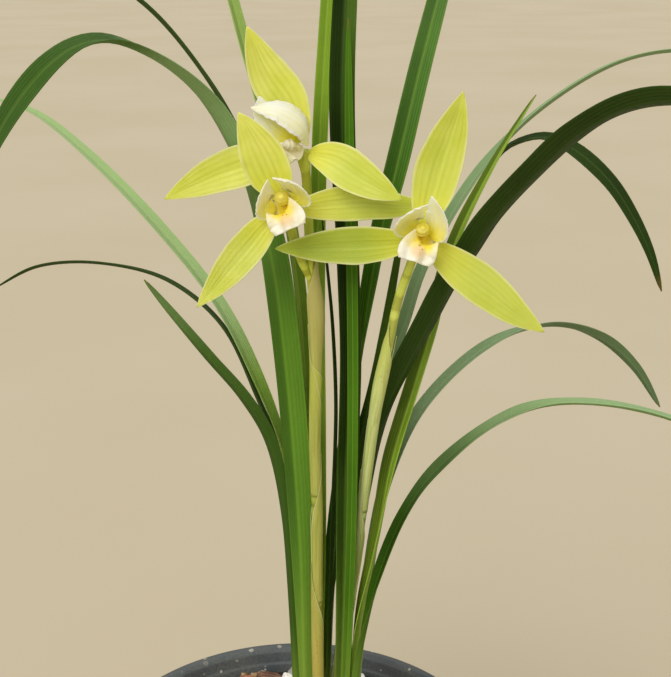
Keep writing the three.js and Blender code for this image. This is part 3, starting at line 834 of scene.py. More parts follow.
@dataclass(frozen=True)
class LeafFinish(Finish):
    """A living leaf: fine parallel veins, a paler keel, a duller underside and a pale foot.

    Its tones are painted shade, painted light and painted sheen.
    """

    name: str
    slot: str
    deep: str
    light: str
    keel: str
    under: str
    # Painted light, painted shade and painted grey sheen, laid on by the leaf's tones.
    bright_and_lit: str = "7da83a"
    shadow: str = "0d1a07"
    grey: str = "a3bd8e"
    foot: str = "93ad45"
    dead: str = "8a6a3c"
    roughness: float = 0.4
    gloss: float = 0.22

    def _living(self, paint: Paint, veins: Sequence[Socket], patches: Socket) -> Socket:
        """Colour the living tissue by its veins and by its tones of painted shade, light and sheen.

        Args:
            paint: The material's graph.
            veins: The ribs, the midrib and the margin.
            patches: Soft uneven patches.

        Returns:
            The colour.
        """
        ribs, midrib, margin = veins
        shade, grey, dead = paint.parts("mood")
        depth = paint.math("ADD", paint.tuned(ribs, 0.7, 0.05), paint.times(patches, 0.3), clamp=True)
        tint = paint.mix(depth, self.deep, self.light)
        tint = paint.lay(tint, self.keel, midrib, 0.5)
        tint = paint.lay(tint, self.keel, margin, 0.3)
        between_ribs = paint.tuned(ribs, -0.4, 1.0)
        # Painted light on the lit half, painted sheen in grey, and painted shade on the shaded half.
        tint = paint.lay(tint, self.bright_and_lit, paint.times(paint.math("MAXIMUM", shade, 0.0), between_ribs))
        tint = paint.lay(tint, self.grey, paint.times(grey, between_ribs))
        tint = paint.lay(tint, self.shadow, paint.times(paint.math("MINIMUM", shade, 0.0), -1.0))
        return paint.lay(tint, self.dead, dead)

    def build(self, paint: Paint) -> None:
        """Paint the leaf's living tissue, its underside and its foot.

        Args:
            paint: The material's graph.
        """
        across, along, side = paint.parts("blade")
        veins = paint.ribbed(across, along, count=9.0, wander=0.5)
        patches, grain = paint.mottled(55.0)
        below = paint.scaled(side, 0.3, -0.3)
        tint = self._living(paint, veins, patches)
        tint = paint.lay(tint, self.under, below, 0.35)
        tint = paint.lay(tint, self.foot, paint.scaled(along, 0.3, 0.02), 0.6)
        rough = paint.math("ADD", paint.tuned(grain, 0.12, self.roughness), paint.times(below, 0.12))
        paint.cover(tint, rough, self.gloss)
        paint.glow(0.12, (0.4, 1.0, 0.2), 0.5)
        paint.relief(paint.tuned(veins[0], 0.8, grain), 0.09)


@dataclass(frozen=True)
class TepalFinish(Finish):
    """A sepal or petal: translucent flesh with fine veins, pale margins and a deeper foot."""

    name: str
    slot: str
    flesh: str
    pale: str
    vein: str
    margin: str
    foot: str
    # The deeper green that a tepal's green share darkens its flesh towards.
    young: str = "9cae38"
    veins: float = 7.0
    vein_strength: float = 0.45
    margin_strength: float = 0.45
    foot_strength: float = 0.5
    foot_reach: float = 0.45
    foot_outside: float = 1.0
    translucency: float = 0.6

    def build(self, paint: Paint) -> None:
        """Paint the flesh, its veins, its foot and its margins.

        Args:
            paint: The material's graph.
        """
        across, along, side = paint.parts("blade")
        green, _, _ = paint.parts("mood")
        ribs, _, margin = paint.ribbed(across, along, self.veins, wander=0.55)
        patches, grain = paint.mottled(130.0)
        lines = paint.times(paint.math("POWER", ribs, 1.6), paint.scaled(along, 0.98, 0.72))
        inside = paint.tuned(paint.scaled(side, -0.3, 0.3), 1.0 - self.foot_outside, self.foot_outside)
        near_foot = paint.times(paint.scaled(along, self.foot_reach, 0.0), inside)
        tint = paint.mix(patches, self.flesh, self.pale)
        # The tepal's green share darkens its flesh towards the deeper green.
        tint = paint.lay(tint, self.young, green)
        tint = paint.lay(tint, self.vein, lines, self.vein_strength)
        tint = paint.lay(tint, self.foot, near_foot, self.foot_strength)
        tint = paint.lay(tint, self.margin, margin, self.margin_strength)
        paint.cover(tint, paint.tuned(grain, 0.15, 0.4), 0.25)
        paint.glow(self.translucency, (1.0, 1.0, 0.5), 1.6)
        paint.relief(paint.tuned(grain, 0.35, lines), 0.07)


@dataclass(frozen=True)
class LipFinish(Finish):
    """The lip: cream margins, a yellow throat, a peach blush and one or two tiny brown specks.

    Each speck is its place across and along the lip and its size.
    """

    name: str = "lip cream"
    slot: str = "bloom_lip"
    cream: str = "f1ebd0"
    edge: str = "f9f5e4"
    throat: str = "fbe02c"
    blush: str = "f0bd7c"
    speck: str = "a8561e"
    specks: tuple[Point, ...] = ((-0.08, 0.64, 0.022), (0.14, 0.7, 0.014))

    def _speck(self, paint: Paint, across: Socket, along: Socket, speck: Point) -> Socket:
        """Draw one speck.

        Args:
            paint: The material's graph.
            across: From -1 at one margin to 1 at the other.
            along: The share of the length.
            speck: Its place across and along the lip and its size.

        Returns:
            The speck's mask.
        """
        middle, share, size = speck
        aside = paint.times(paint.math("SUBTRACT", across, middle), 0.5)
        ahead = paint.math("SUBTRACT", along, share)
        distance = paint.math("SQRT", paint.tuned(aside, aside, paint.times(ahead, ahead)))
        return paint.scaled(distance, size * 1.6, size * 0.7)

    def build(self, paint: Paint) -> None:
        """Paint the cream, the blush, the throat and the specks.

        Args:
            paint: The material's graph.
        """
        across, along, side = paint.parts("blade")
        patches, grain = paint.mottled(240.0)
        reach = paint.math("ABSOLUTE", across)
        above = paint.scaled(side, -0.3, 0.3)
        tint = paint.mix(patches, self.cream, self.edge)
        band = paint.times(paint.scaled(along, 0.58, 0.72), paint.scaled(along, 0.98, 0.8))
        tint = paint.lay(tint, self.blush, paint.times(band, above, paint.scaled(reach, 0.62, 0.1)), 0.6)
        wandering = paint.math("ADD", along, paint.tuned(patches, 0.1, -0.05))
        centre = paint.tuned(paint.scaled(reach, 0.55, 1.0), -0.6, 1.0)
        throat = paint.times(paint.scaled(wandering, 0.8, 0.56), centre, above)
        tint = paint.lay(tint, self.throat, throat, 0.95)
        for speck in self.specks:
            dot = self._speck(paint, across, along, speck)
            tint = paint.lay(tint, self.speck, paint.times(dot, above), 0.85)
        paint.cover(tint, paint.tuned(grain, 0.2, 0.35), 0.3)
        paint.glow(0.4, (1.0, 0.9, 0.5), 1.0)
        paint.relief(grain, 0.08)


@dataclass(frozen=True)
class ColumnFinish(Finish):
    """The column: waxy yellow-cream that pales to its cap."""

    name: str = "column wax"
    slot: str = "bloom_column"
    foot: str = "f2da1c"
    cap: str = "f4df34"
    bloom: str = "fdf6b0"

    def build(self, paint: Paint) -> None:
        """Paint the wax and its pale bloom.

        Args:
            paint: The material's graph.
        """
        _, _, along = paint.parts("skin")
        patches, grain = paint.mottled(320.0)
        tint = paint.mix(paint.scaled(along, 0.3, 0.95), self.foot, self.cap)
        tint = paint.lay(tint, self.bloom, patches, 0.2)
        paint.cover(tint, paint.tuned(grain, 0.15, 0.3))
        paint.glow(0.35, (1.0, 0.9, 0.3), 0.8)
        paint.relief(grain, 0.05)


@dataclass(frozen=True)
class StemFinish(Finish):
    """A flower stem or its scales: yellow-green flesh with long veins and reddish flecks.

    The coordinate is the attribute that the veins follow: `skin` on a rod, `blade` on a sheet.
    """

    name: str
    flesh: str
    shade: str
    fleck: str
    coordinate: str = "skin"
    flecks: float = 0.22
    bright_and_lit: str = "ccd44a"
    margin: str = "d3d79a"
    ripe: str = "a8b048"
    slot: str = "flower_stem"
    bright_and_lit_levels: tuple[float, float] = (215.0, 268.0)
    ripe_levels: tuple[float, float] = (200.0, 130.0)

    def build(self, paint: Paint) -> None:
        """Paint the flesh, its veins, its brighter top with painted light, its ripe foot and its flecks.

        Args:
            paint: The material's graph.
        """
        x, y, z = paint.parts(self.coordinate)
        sheet = self.coordinate == "blade"
        if sheet:
            stretched = paint.vector(paint.times(x, 6.0), 0.0, paint.times(y, 2.0))
        else:
            stretched = paint.vector(paint.times(x, 3.2), paint.times(y, 3.2), paint.times(z, 7.0))
        veins = paint.scaled(paint.noise(stretched, 1.5, 5.0), 0.35, 0.65)
        patches, grain = paint.mottled(90.0)
        low = paint.rising(self.ripe_levels)
        tint = paint.mix(paint.tuned(veins, 0.75, paint.times(patches, 0.15)), self.flesh, self.shade)
        # The top is its own brighter green, lightened further as painted light.
        tint = paint.lay(tint, self.bright_and_lit, paint.rising(self.bright_and_lit_levels), 0.85)
        tint = paint.lay(tint, self.ripe, paint.times(low, paint.tuned(patches, 0.5, 0.35)))
        flecks = paint.times(paint.specked(900.0, self.flecks), patches, paint.tuned(low, 0.55, 0.2))
        tint = paint.lay(tint, self.fleck, flecks)
        if sheet:
            edge = paint.scaled(paint.math("ABSOLUTE", x), 0.86, 1.0)
            tint = paint.lay(tint, self.margin, edge, 0.7)
        paint.cover(tint, paint.tuned(grain, 0.16, 0.38), 0.3)
        paint.glow(0.2, (0.8, 1.0, 0.3), 0.8)
        paint.relief(veins, 0.06)


@dataclass(frozen=True)
class SheathFinish(Finish):
    """A papery sheath round a shoot: green and fleshy low down, dry and fibrous at its tip."""

    name: str = "papery sheath"
    slot: str = "shoot_sheath"
    living: str = "8f9c55"
    dry: str = "b29a6c"
    fibre: str = "6d5534"

    def build(self, paint: Paint) -> None:
        """Paint the sheath from its living foot to its dry tip, and its fibres.

        Args:
            paint: The material's graph.
        """
        across, along, _ = paint.parts("blade")
        ribs, _, margin = paint.ribbed(across, along, count=8.0, wander=0.9)
        patches, grain = paint.mottled(110.0)
        dryness = paint.scaled(paint.tuned(patches, 0.25, along), 0.45, 0.95)
        tint = paint.mix(dryness, self.living, self.dry)
        tint = paint.lay(tint, self.fibre, ribs, 0.5)
        tint = paint.lay(tint, self.fibre, margin, 0.5)
        paint.cover(tint, paint.tuned(grain, 0.2, 0.6))
        paint.relief(ribs, 0.14)


@dataclass(frozen=True)
class PotFinish(Finish):
    """Black moulded plastic with fine scuffs, dust, dried mineral marks and a painted sheen near the rim."""

    name: str = "black nursery plastic"
    slot: str = "pot_plastic"
    plastic: str = "20242a"
    worn: str = "363d44"
    painted_sheen: str = "384349"
    dust: str = "8a877b"
    mineral: str = "cfc9b6"
    sheen_levels: tuple[float, float] = (104.0, 112.0)
    dust_levels: tuple[float, float] = (85.0, 118.0)

    def build(self, paint: Paint) -> None:
        """Paint the plastic, the painted sheen near its rim, its dust and its mineral marks.

        Args:
            paint: The material's graph.
        """
        patches, _ = paint.mottled(38.0)
        fine_patches, fine_grain = paint.mottled(160.0)
        high = paint.rising(self.dust_levels)
        tint = paint.mix(patches, self.plastic, self.worn)
        # Painted sheen: a lighter blue-grey over the upper wall and the rim.
        tint = paint.lay(tint, self.painted_sheen, paint.rising(self.sheen_levels), 0.8)
        dusty = paint.times(high, patches, paint.tuned(fine_grain, 0.5, 0.3))
        tint = paint.lay(tint, self.dust, dusty, 0.5)
        marks = paint.times(paint.specked(420.0, 0.3), fine_patches, high)
        tint = paint.lay(tint, self.mineral, marks, 0.75)
        rough = paint.math("ADD", paint.tuned(patches, 0.18, 0.38), paint.times(dusty, 0.4), clamp=True)
        paint.cover(tint, rough)
        paint.relief(paint.tuned(marks, 2.0, fine_grain), 0.06)


@dataclass(frozen=True)
class GrainFinish(Finish):
    """A kind of grain in the potting mix: its tones, and how fibrous and rough it is."""

    name: str
    dark: str
    light: str
    pale: str
    fibrous: float
    depth_mm: float
    roughness: float = 0.85
    slot: str = "potting_mix"

    def build(self, paint: Paint) -> None:
        """Paint the grain's tone, its fibres and its dark hollows.

        Args:
            paint: The material's graph.
        """
        x, y, z = paint.parts("grain")
        tone, _, _ = paint.parts("tone")
        along, across = paint.times(x, 1.0 - 0.75 * self.fibrous), paint.times(z, 1.0 + self.fibrous)
        fibres = paint.scaled(paint.noise(paint.vector(along, y, across), 700.0, 6.0), 0.3, 0.7)
        patches, grain = paint.mottled(260.0)
        tint = paint.mix(tone, self.dark, self.light)
        tint = paint.lay(tint, self.pale, fibres, 0.55)
        tint = paint.lay(tint, self.dark, patches, 0.35)
        paint.cover(tint, paint.tuned(grain, 0.12, self.roughness - 0.06))
        paint.relief(fibres, self.depth_mm)


@dataclass(frozen=True)
class FloorFinish(Finish):
    """A plain pale studio floor."""

    name: str = "pale floor"
    tone: str = "beb299"
    chalk: str = "ffffff"

    def build(self, paint: Paint) -> None:
        """Paint the floor with a trace of chalk.

        Args:
            paint: The material's graph.
        """
        patches, _ = paint.mottled(2.0)
        paint.cover(paint.lay(self.tone, self.chalk, patches, 0.05), 0.9, 0.2)


class LeafKind(Enum):
    """The leaf finishes of the clump.

    They are copies of one green from dark to bright: the dark one is partly painted shade and the
    bright one partly painted light.
    """

    DARK = LeafFinish("leaf dark", "leaf_dark", "1e3008", "364e18", "466428", "3c5420", gloss=0.06)
    MID = LeafFinish("leaf green", "leaf_mid", "30580c", "54841c", "7ca236", "5c842e", gloss=0.05)
    BRIGHT = LeafFinish("leaf bright", "leaf_bright", "708f26", "9aba34", "bcd25a", "8aa83e", gloss=0.08)
    GREY = LeafFinish("leaf grey-green", "leaf_grey", "4d703c", "7a9864", "a2bb8c", "7c976a", gloss=0.16)


class TepalKind(Enum):
    """The finishes of a bloom's sepals and petals."""

    SEPAL = TepalFinish(
        "sepal green", "bloom_sepal", "d7dd5c", "e6ea7a", "b4be44", "f1f3bc", "e8e038", vein_strength=0.42
    )
    PETAL = TepalFinish(
        "petal pale",
        "bloom_petal",
        "f4f7cc",
        "fdfde8",
        "dce494",
        "fffff4",
        "fcea48",
        veins=6.0,
        vein_strength=0.3,
        margin_strength=0.8,
        foot_strength=1.0,
        foot_reach=0.7,
        foot_outside=0.25,
        translucency=0.85,
    )


LIP = LipFinish()
YOUNG_LIP = LipFinish("young lip cream", throat="f8ecc8", blush="f3cdb2", specks=())
COLUMN = ColumnFinish()
YOUNG_COLUMN = ColumnFinish("young column wax", foot="fdf0a8", cap="fdf0c8")
STEM_SKIN = StemFinish("stem skin", "acb24e", "949c34", "9a7a3c", ripe="b09038")
STEM_SCALES = StemFinish("stem scales", "b2b45c", "98a042", "a07c40", "blade", 0.3, ripe="b8a04c")
STEM_BRACT = StemFinish("stem bract", "b8bc58", "9ca448", "9a6a50", "blade", 0.35, "b0a664", "c6c48e")
PALE_SKIN = StemFinish("pale stem skin", "ccd892", "aabb60", "a08448")
PALE_SCALES = StemFinish("pale stem scales", "d2dc96", "b0c064", "a08448", "blade", 0.3, "c6cc4a")
BARK = GrainFinish("bark", "4a2616", "96563a", "c29a78", 1.0, 0.35)
DRY_BARK = GrainFinish("dry bark", "7a5a3c", "b08a5c", "d6bd92", 1.0, 0.3)
PERLITE = GrainFinish("white grains", "dedbd2", "f4f2ec", "ffffff", 0.0, 0.22, 0.95)
GRIT = GrainFinish("grit", "6f716c", "a3a49c", "c4c0b2", 0.2, 0.15, 0.8)
HUMUS = GrainFinish("fine humus", "2e1d13", "4a3322", "6a4f38", 0.3, 0.6, 0.95)


# ---------------------------------------------------------------- pot


@dataclass
class NurseryPot:
    """The round tapered pot with its rolled rim and drain holes.

    Sizes are in millimetres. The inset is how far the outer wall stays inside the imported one, the
    lip is where the wall meets the rim, and the corner is the bevel of every edge sharper than
    `corner_from`, in radians. Faces that meet at less than `smooth_to` degrees are shaded as one.
    """

    height: float = 118.0
    rim_radius: float = 60.0
    base_radius: float = 43.0
    wall: float = 1.8
    floor: float = 3.0
    rim_depth: float = 11.0
    overhang: float = 2.6
    rounding: float = 1.2
    ledge: float = 4.6
    ledge_step: float = 0.5
    inset: float = 0.12
    lip: tuple[float, float] = (1.0, 0.5)
    base_band: float = 4.0
    base_edge: float = 1.0
    floor_inset: float = 0.3
    floor_rise: float = 0.1
    segments: int = 144
    corner: float = 0.35
    corner_from: float = 0.35
    smooth_to: float = 35.0
    drains: int = 6
    drain_radius: float = 4.0
    drain_ring: float = 27.0
    drain_sides: int = 32
    drain_cut: float = 16.0

    def outer(self, z: float) -> float:
        """Return the outer radius of the tapered wall at a height."""
        return blend(self.base_radius, self.rim_radius - self.overhang, z / self.height)

    def inner(self, z: float) -> float:
        """Return the inner radius of the tapered wall at a height."""
        return self.outer(z) - self.wall

    def _profile(self) -> list[tuple[float, float]]:
        """Draw the wall's outline from the middle of the base to the middle of the floor.

        Returns:
            Each corner's distance from the axis and its height.
        """
        rim_foot = self.height - self.rim_depth
        before, after = self.lip
        ledge = self.height - self.ledge
        below_ledge = ledge - self.ledge_step
        floor = self.floor + self.floor_rise
        return [
            (0.0, 0.0),
            (self.base_radius - self.base_band, 0.0),
            (self.base_radius - self.base_edge, 0.0),
            (self.base_radius, self.rounding),
            (self.outer(rim_foot) - self.inset, rim_foot - before),
            (self.outer(rim_foot) - self.inset, rim_foot),
            (self.rim_radius - self.inset, rim_foot + after),
            (self.rim_radius - self.inset, self.height - self.rounding),
            (self.rim_radius - self.rounding, self.height),
            (self.inner(self.height) + self.rounding, self.height),
            (self.inner(self.height - self.rounding), self.height - self.rounding),
            (self.inner(ledge), ledge),
            (self.inner(below_ledge) - self.ledge_step, below_ledge),
            (self.inner(self.floor) - self.floor_inset, floor),
            (0.0, floor),
        ]

    def _shell(self) -> bmesh.types.BMesh:
        """Spin the outline round the axis and round its corners.

        Returns:
            The closed wall, floor and rim.
        """
        bm = bmesh.new()
        spin_outline(bm, self._profile(), self.segments)
        bmesh.ops.recalc_face_normals(bm, faces=bm.faces[:])
        sharp = [
            edge for edge in bm.edges if edge.is_manifold and edge.calc_face_angle(0.0) > self.corner_from
        ]
        bmesh.ops.bevel(
            bm, geom=sharp, offset=self.corner * MM, segments=2, profile=0.5, affect="EDGES", material=-1
        )
        return bm

    def _cut_drains(self, pot: bpy.types.Object) -> None:
        """Cut the drain holes through the base and drop the cutters.

        Args:
            pot: The pot's object.
        """
        bm = bmesh.new()
        for index in range(self.drains):
            angle = math.tau * index / self.drains
            place = Vector((math.cos(angle), math.sin(angle), 0.0)) * (self.drain_ring * MM)
            bmesh.ops.create_cone(
                bm,
                cap_ends=True,
                segments=self.drain_sides,
                radius1=self.drain_radius * MM,
                radius2=self.drain_radius * MM,
                depth=self.drain_cut * MM,
                matrix=Matrix.Translation(place),
            )
        cutter = finish_object("drain_cutter", bm)
        cut = pot.modifiers.new("drains", "BOOLEAN")
        cut.object = cutter
        cut.operation = "DIFFERENCE"
        graph = bpy.context.evaluated_depsgraph_get()
        pot.data = bpy.data.meshes.new_from_object(pot.evaluated_get(graph))
        pot.modifiers.clear()
        bpy.data.objects.remove(cutter, do_unlink=True)

    def build(self) -> None:
        """Build the pot and dress it."""
        pot = finish_object("nursery_pot", self._shell())
        self._cut_drains(pot)
        for polygon in pot.data.polygons:
            polygon.use_smooth = True
        pot.data.set_sharp_from_angle(angle=math.radians(self.smooth_to))
        dress(pot, PotFinish(), ["pot"])


# ---------------------------------------------------------------- potting mix


@dataclass(frozen=True)
class Grains:
    """One kind of grain in the mix: how many, how large, how flat and how high it lies."""

    name: str
    finish: GrainFinish
    count: int
    smallest: float
    largest: float
    flatness: tuple[float, float]
    lift: float
    seed: int


@dataclass(frozen=True)
class PlacedGrain:
    """A single grain in plain sight at the back of the pot: its place, size and turn in degrees."""

    kind: str
    x: float
    y: float
    size: float
    turn: float


@dataclass
class PottingMix:
    """The mix that fills the pot: a bed of fine stuff with chips and grains lying on it.

    The gaps, in millimetres, part the bed from the pot's floor and wall and the grains from the
    wall. A grain's footprint is the share of its length that it keeps free round its middle. Its
    jitter and broken edge are shares of its size, and its tilt is in radians.
    """

    pot: NurseryPot
    level: float = 112.5
    bed_drop: float = 2.2
    bed_gap: float = 0.4
    foot_gap: float = 1.2
    edge_gap: float = 0.9
    grain_gap: float = 1.6
    bed_rings: int = 26
    bed_steps: int = 96
    lumps: float = 0.9
    lump_size: float = 190.0
    tone_size: float = 120.0
    footprint: float = 0.62
    jitter: float = 0.16
    broken_edge: float = 0.14
    tilt: float = 0.45
    kinds: tuple[Grains, ...] = (
        Grains("bark_chips", BARK, 105, 7.0, 13.5, (0.3, 0.55), 0.2, 5),
        Grains("dry_chips", DRY_BARK, 60, 6.0, 11.0, (0.25, 0.5), 0.6, 6),
        Grains("white_grains", PERLITE, 85, 2.2, 4.6, (0.7, 1.0), 1.6, 7),
        Grains("grit_stones", GRIT, 130, 1.8, 4.2, (0.6, 0.95), 1.2, 8),
    )
    placed: tuple[PlacedGrain, ...] = (
        PlacedGrain("bark_chips", -9.0, 46.6, 9.0, 20.0),
        PlacedGrain("bark_chips", -1.5, 44.0, 7.0, 70.0),
        PlacedGrain("white_grains", -3.6, 46.8, 3.2, 10.0),
        PlacedGrain("dry_chips", -14.2, 50.0, 3.6, 40.0),
        PlacedGrain("dry_chips", -17.9, 50.8, 3.0, 75.0),
        PlacedGrain("white_grains", -12.0, 49.4, 2.0, 0.0),
        PlacedGrain("dry_chips", 27.0, 47.0, 3.4, 30.0),
        PlacedGrain("white_grains", 31.0, 45.6, 2.2, 0.0),
    )

    def build(self, keep_clear: Sequence[tuple[float, float, float]]) -> None:
        """Build the bed and its grains and dress them.

        Args:
            keep_clear: The x, y and radius of each place that stays free.
        """
        self._bed()
        for kind in self.kinds:
            self._spread(kind, keep_clear)

    def _bed(self) -> None:
        """Build the bed: a filled pot's worth with a lumpy top."""
        bm = bmesh.new()
        grain, tone = vector_layer(bm, "grain"), vector_layer(bm, "tone")
        top, bottom = self.level - self.bed_drop, self.pot.floor + self.bed_gap
        foot = self.pot.inner(self.pot.floor) - self.foot_gap
        reach = self.pot.inner(top) - self.edge_gap
        outline = [(0.0, bottom), (foot, bottom)]
        outline += [(reach * (1.0 - ring / self.bed_rings), top) for ring in range(self.bed_rings + 1)]
        spin_outline(bm, outline, self.bed_steps)
        for vert in bm.verts:
            if vert.co.z > (top - 0.5) * MM:
                bump = noise.fractal(vert.co * self.lump_size, 1.0, 2.0, 4)
                vert.co.z += bump * self.lumps * MM
            vert[grain] = vert.co
            vert[tone] = (0.5 + 0.5 * noise.noise(vert.co * self.tone_size), 0.0, 0.0)
        dress(finish_object("mix_bed", bm), HUMUS, ["potting_mix"])

    def _grain(
        self,
        bm: bmesh.types.BMesh,
        kind: Grains,
        random: Random,
        place: tuple[float, float],
        size: float,
        turn: float,
    ) -> None:
        """Add one grain: a cube with jittered corners and broken edges.

        Args:
            bm: The bmesh of its kind.
            kind: The kind of grain.
            random: The kind's own random numbers.
            place: Its x and y.
            size: Its length.
            turn: Its turn round Z in radians.
        """
        before = set(bm.verts)
        bmesh.ops.create_cube(bm, size=1.0)
        verts = [vert for vert in bm.verts if vert not in before]
        breadth = blend(0.55, 0.95, random.random())
        depth = blend(*kind.flatness, random.random())
        for vert in verts:
            vert.co = vert.co + Vector([random.uniform(-self.jitter, self.jitter) for _ in range(3)])
        edges = list({edge for vert in verts for edge in vert.link_edges})
        bmesh.ops.bevel(
            bm, geom=edges, offset=self.broken_edge, segments=1, profile=0.5, affect="EDGES", material=-1
        )
        verts = [vert for vert in bm.verts if vert not in before]
        bmesh.ops.scale(bm, vec=Vector((size, size * breadth, size * depth)) * MM, verts=verts)
        grain, tone = vector_layer(bm, "grain"), vector_layer(bm, "tone")
        shade = random.random()
        for vert in verts:
            vert[grain] = vert.co + Vector((len(before) * 0.003, 0.0, 0.0))
            vert[tone] = (shade, 0.0, 0.0)
        tilt = Matrix.Rotation(random.uniform(-self.tilt, self.tilt), 3, "X")
        tilt = Matrix.Rotation(random.uniform(-self.tilt, self.tilt), 3, "Y") @ tilt
        height = self.level - self.bed_drop + kind.lift + size * depth * 0.2
        lie = Matrix.Rotation(turn, 3, "Z") @ tilt
        bmesh.ops.rotate(bm, cent=(0.0, 0.0, 0.0), matrix=lie, verts=verts)
        bmesh.ops.translate(bm, vec=Vector((*place, height)) * MM, verts=verts)

    def _spread(self, kind: Grains, keep_clear: Sequence[tuple[float, float, float]]) -> None:
        """Scatter one kind of grain over the bed.

        Args:
            kind: The grains to scatter.
            keep_clear: The x, y and radius of each place that stays free.
        """
        random = Random(kind.seed)
        bm = bmesh.new()
        vector_layer(bm, "grain")
        vector_layer(bm, "tone")
        made = 0
        while made < kind.count:
            size = blend(kind.smallest, kind.largest, random.random())
            free = self.pot.inner(self.level) - self.grain_gap - size * self.footprint
            ring = free * math.sqrt(random.random())
            angle = random.random() * math.tau
            x, y = ring * math.cos(angle), ring * math.sin(angle)
            if any(math.hypot(x - cx, y - cy) < r + size * self.footprint for cx, cy, r in keep_clear):
                continue
            made += 1
            self._grain(bm, kind, random, (x, y), size, random.random() * math.tau)
        for one in self.placed:
            if one.kind == kind.name:
                self._grain(bm, kind, random, (one.x, one.y), one.size, math.radians(one.turn))
        piece = finish_object(kind.name, bm)
        for polygon in piece.data.polygons:
            polygon.use_smooth = False
        dress(piece, kind.finish)


# ---------------------------------------------------------------- shoots


@dataclass
class Shoot:
    """A small bulb in the mix, wrapped by papery sheaths.

    Each sheath is the way it faces in degrees and how high it stands above the bulb's shoulder. The
    extra ones lie under the others.
    """

    name: str
    x: float
    y: float
    radius: float
    sheaths: tuple[tuple[float, float], ...]
    extra: tuple[tuple[float, float], ...] = ()
    shoulder: float = 109.0
    top: float = 116.0
    foot: float = 95.0
    underlap: float = -0.35
    sides: int = 28

    def _bulb(self) -> bmesh.types.BMesh:
        """Spin the bulb's outline round its own axis.

        Returns:
            The bulb.
        """
        bm = bmesh.new()
        radius = self.radius
        outline = [
            (0.0, self.foot),
            (radius * 0.5, self.foot + 1.0),
            (radius * 0.88, self.foot + 6.0),
            (radius * 0.96, self.foot + 12.0),
            (radius * 0.93, self.top - 4.0),
            (radius * 0.84, self.top - 0.5),
            (radius * 0.5, self.top - 0.1),
            (0.0, self.top - 0.1),
        ]
        spin_outline(bm, outline, self.sides)
        layer = vector_layer(bm, "blade")
        for vert in bm.verts:
            across = math.sin(3.0 * math.atan2(vert.co.y, vert.co.x))
            vert[layer] = (across * 0.8, 0.15, 1.0)
        bmesh.ops.translate(bm, vec=Vector((self.x, self.y, 0.0)) * MM, verts=bm.verts[:])
        return bm

    def _sheath(self, facing: float, height: float, outset: float) -> Blade:
        """Shape one sheath.

        Args:
            facing: The way it faces, in degrees.
            height: How high it stands above the bulb's shoulder.
            outset: How far it stands off the bulb.

        Returns:
            The sheath's blade.
        """
        angle = math.radians(facing)
        out = Vector((math.cos(angle), math.sin(angle), 0.0))

        def at(reach: float, z: float) -> Point:
            """Return a point at a distance from the bulb's axis."""
            return self.x + out.x * reach, self.y + out.y * reach, z

        route = Route(
            [
                at(self.radius - 0.5 + outset, self.shoulder - 5.0),
                at(self.radius + 0.1 + outset, self.shoulder + 4.0),
                at(self.radius + 0.7 + outset, self.shoulder + height * 0.55),
                at(self.radius + 1.9 + outset, self.shoulder + height),
            ],
            (-out.x, -out.y, 0.0),
        )

        def section(along: float, across: float) -> tuple[float, float]:
            """Wrap the sheath round the bulb and fray its tip.

            Args:
                along: The share of the length.
                across: From -1 at one margin to 1 at the other.

            Returns:
                The offsets to the side and along the normal, in millimetres.
            """
            half = blend(3.3, 0.12, smooth((along - 0.3) / 0.7))
            wrap = across * half / self.radius
            fray = noise.noise(Vector((across * 2.0, along * 9.0, facing)))
            frayed = 0.25 * smooth((along - 0.6) / 0.4) * fray
            return self.radius * math.sin(wrap), self.radius * (1.0 - math.cos(wrap)) + frayed

        def thickness(along: float, across: float) -> float:
            """Thin the sheath to its tip and margins."""
            return blend(0.6, 0.22, along) * (1.0 - 0.5 * across * across)

        return Blade(route, section, thickness, rows=24, columns=12)

    def build(self) -> None:
        """Build the shoot and dress it."""
        bm = self._bulb()
        for facing, height in self.sheaths:
            self._sheath(facing, height, 0.0).add(bm)
        for facing, height in self.extra:
            self._sheath(facing, height, self.underlap).add(bm)
        dress(finish_object(f"{self.name}_sheathed", bm), SheathFinish(), [self.name])


# ---------------------------------------------------------------- flower stems


@dataclass(frozen=True)
class Scale:
    """A sheathing scale of a stem: the shares where it starts and ends, and the way it faces.

    The bulge is how far its middle stands off the stem, in millimetres.
    """

    start: float
    tip: float
    facing: float
    bulge: float = 0.0


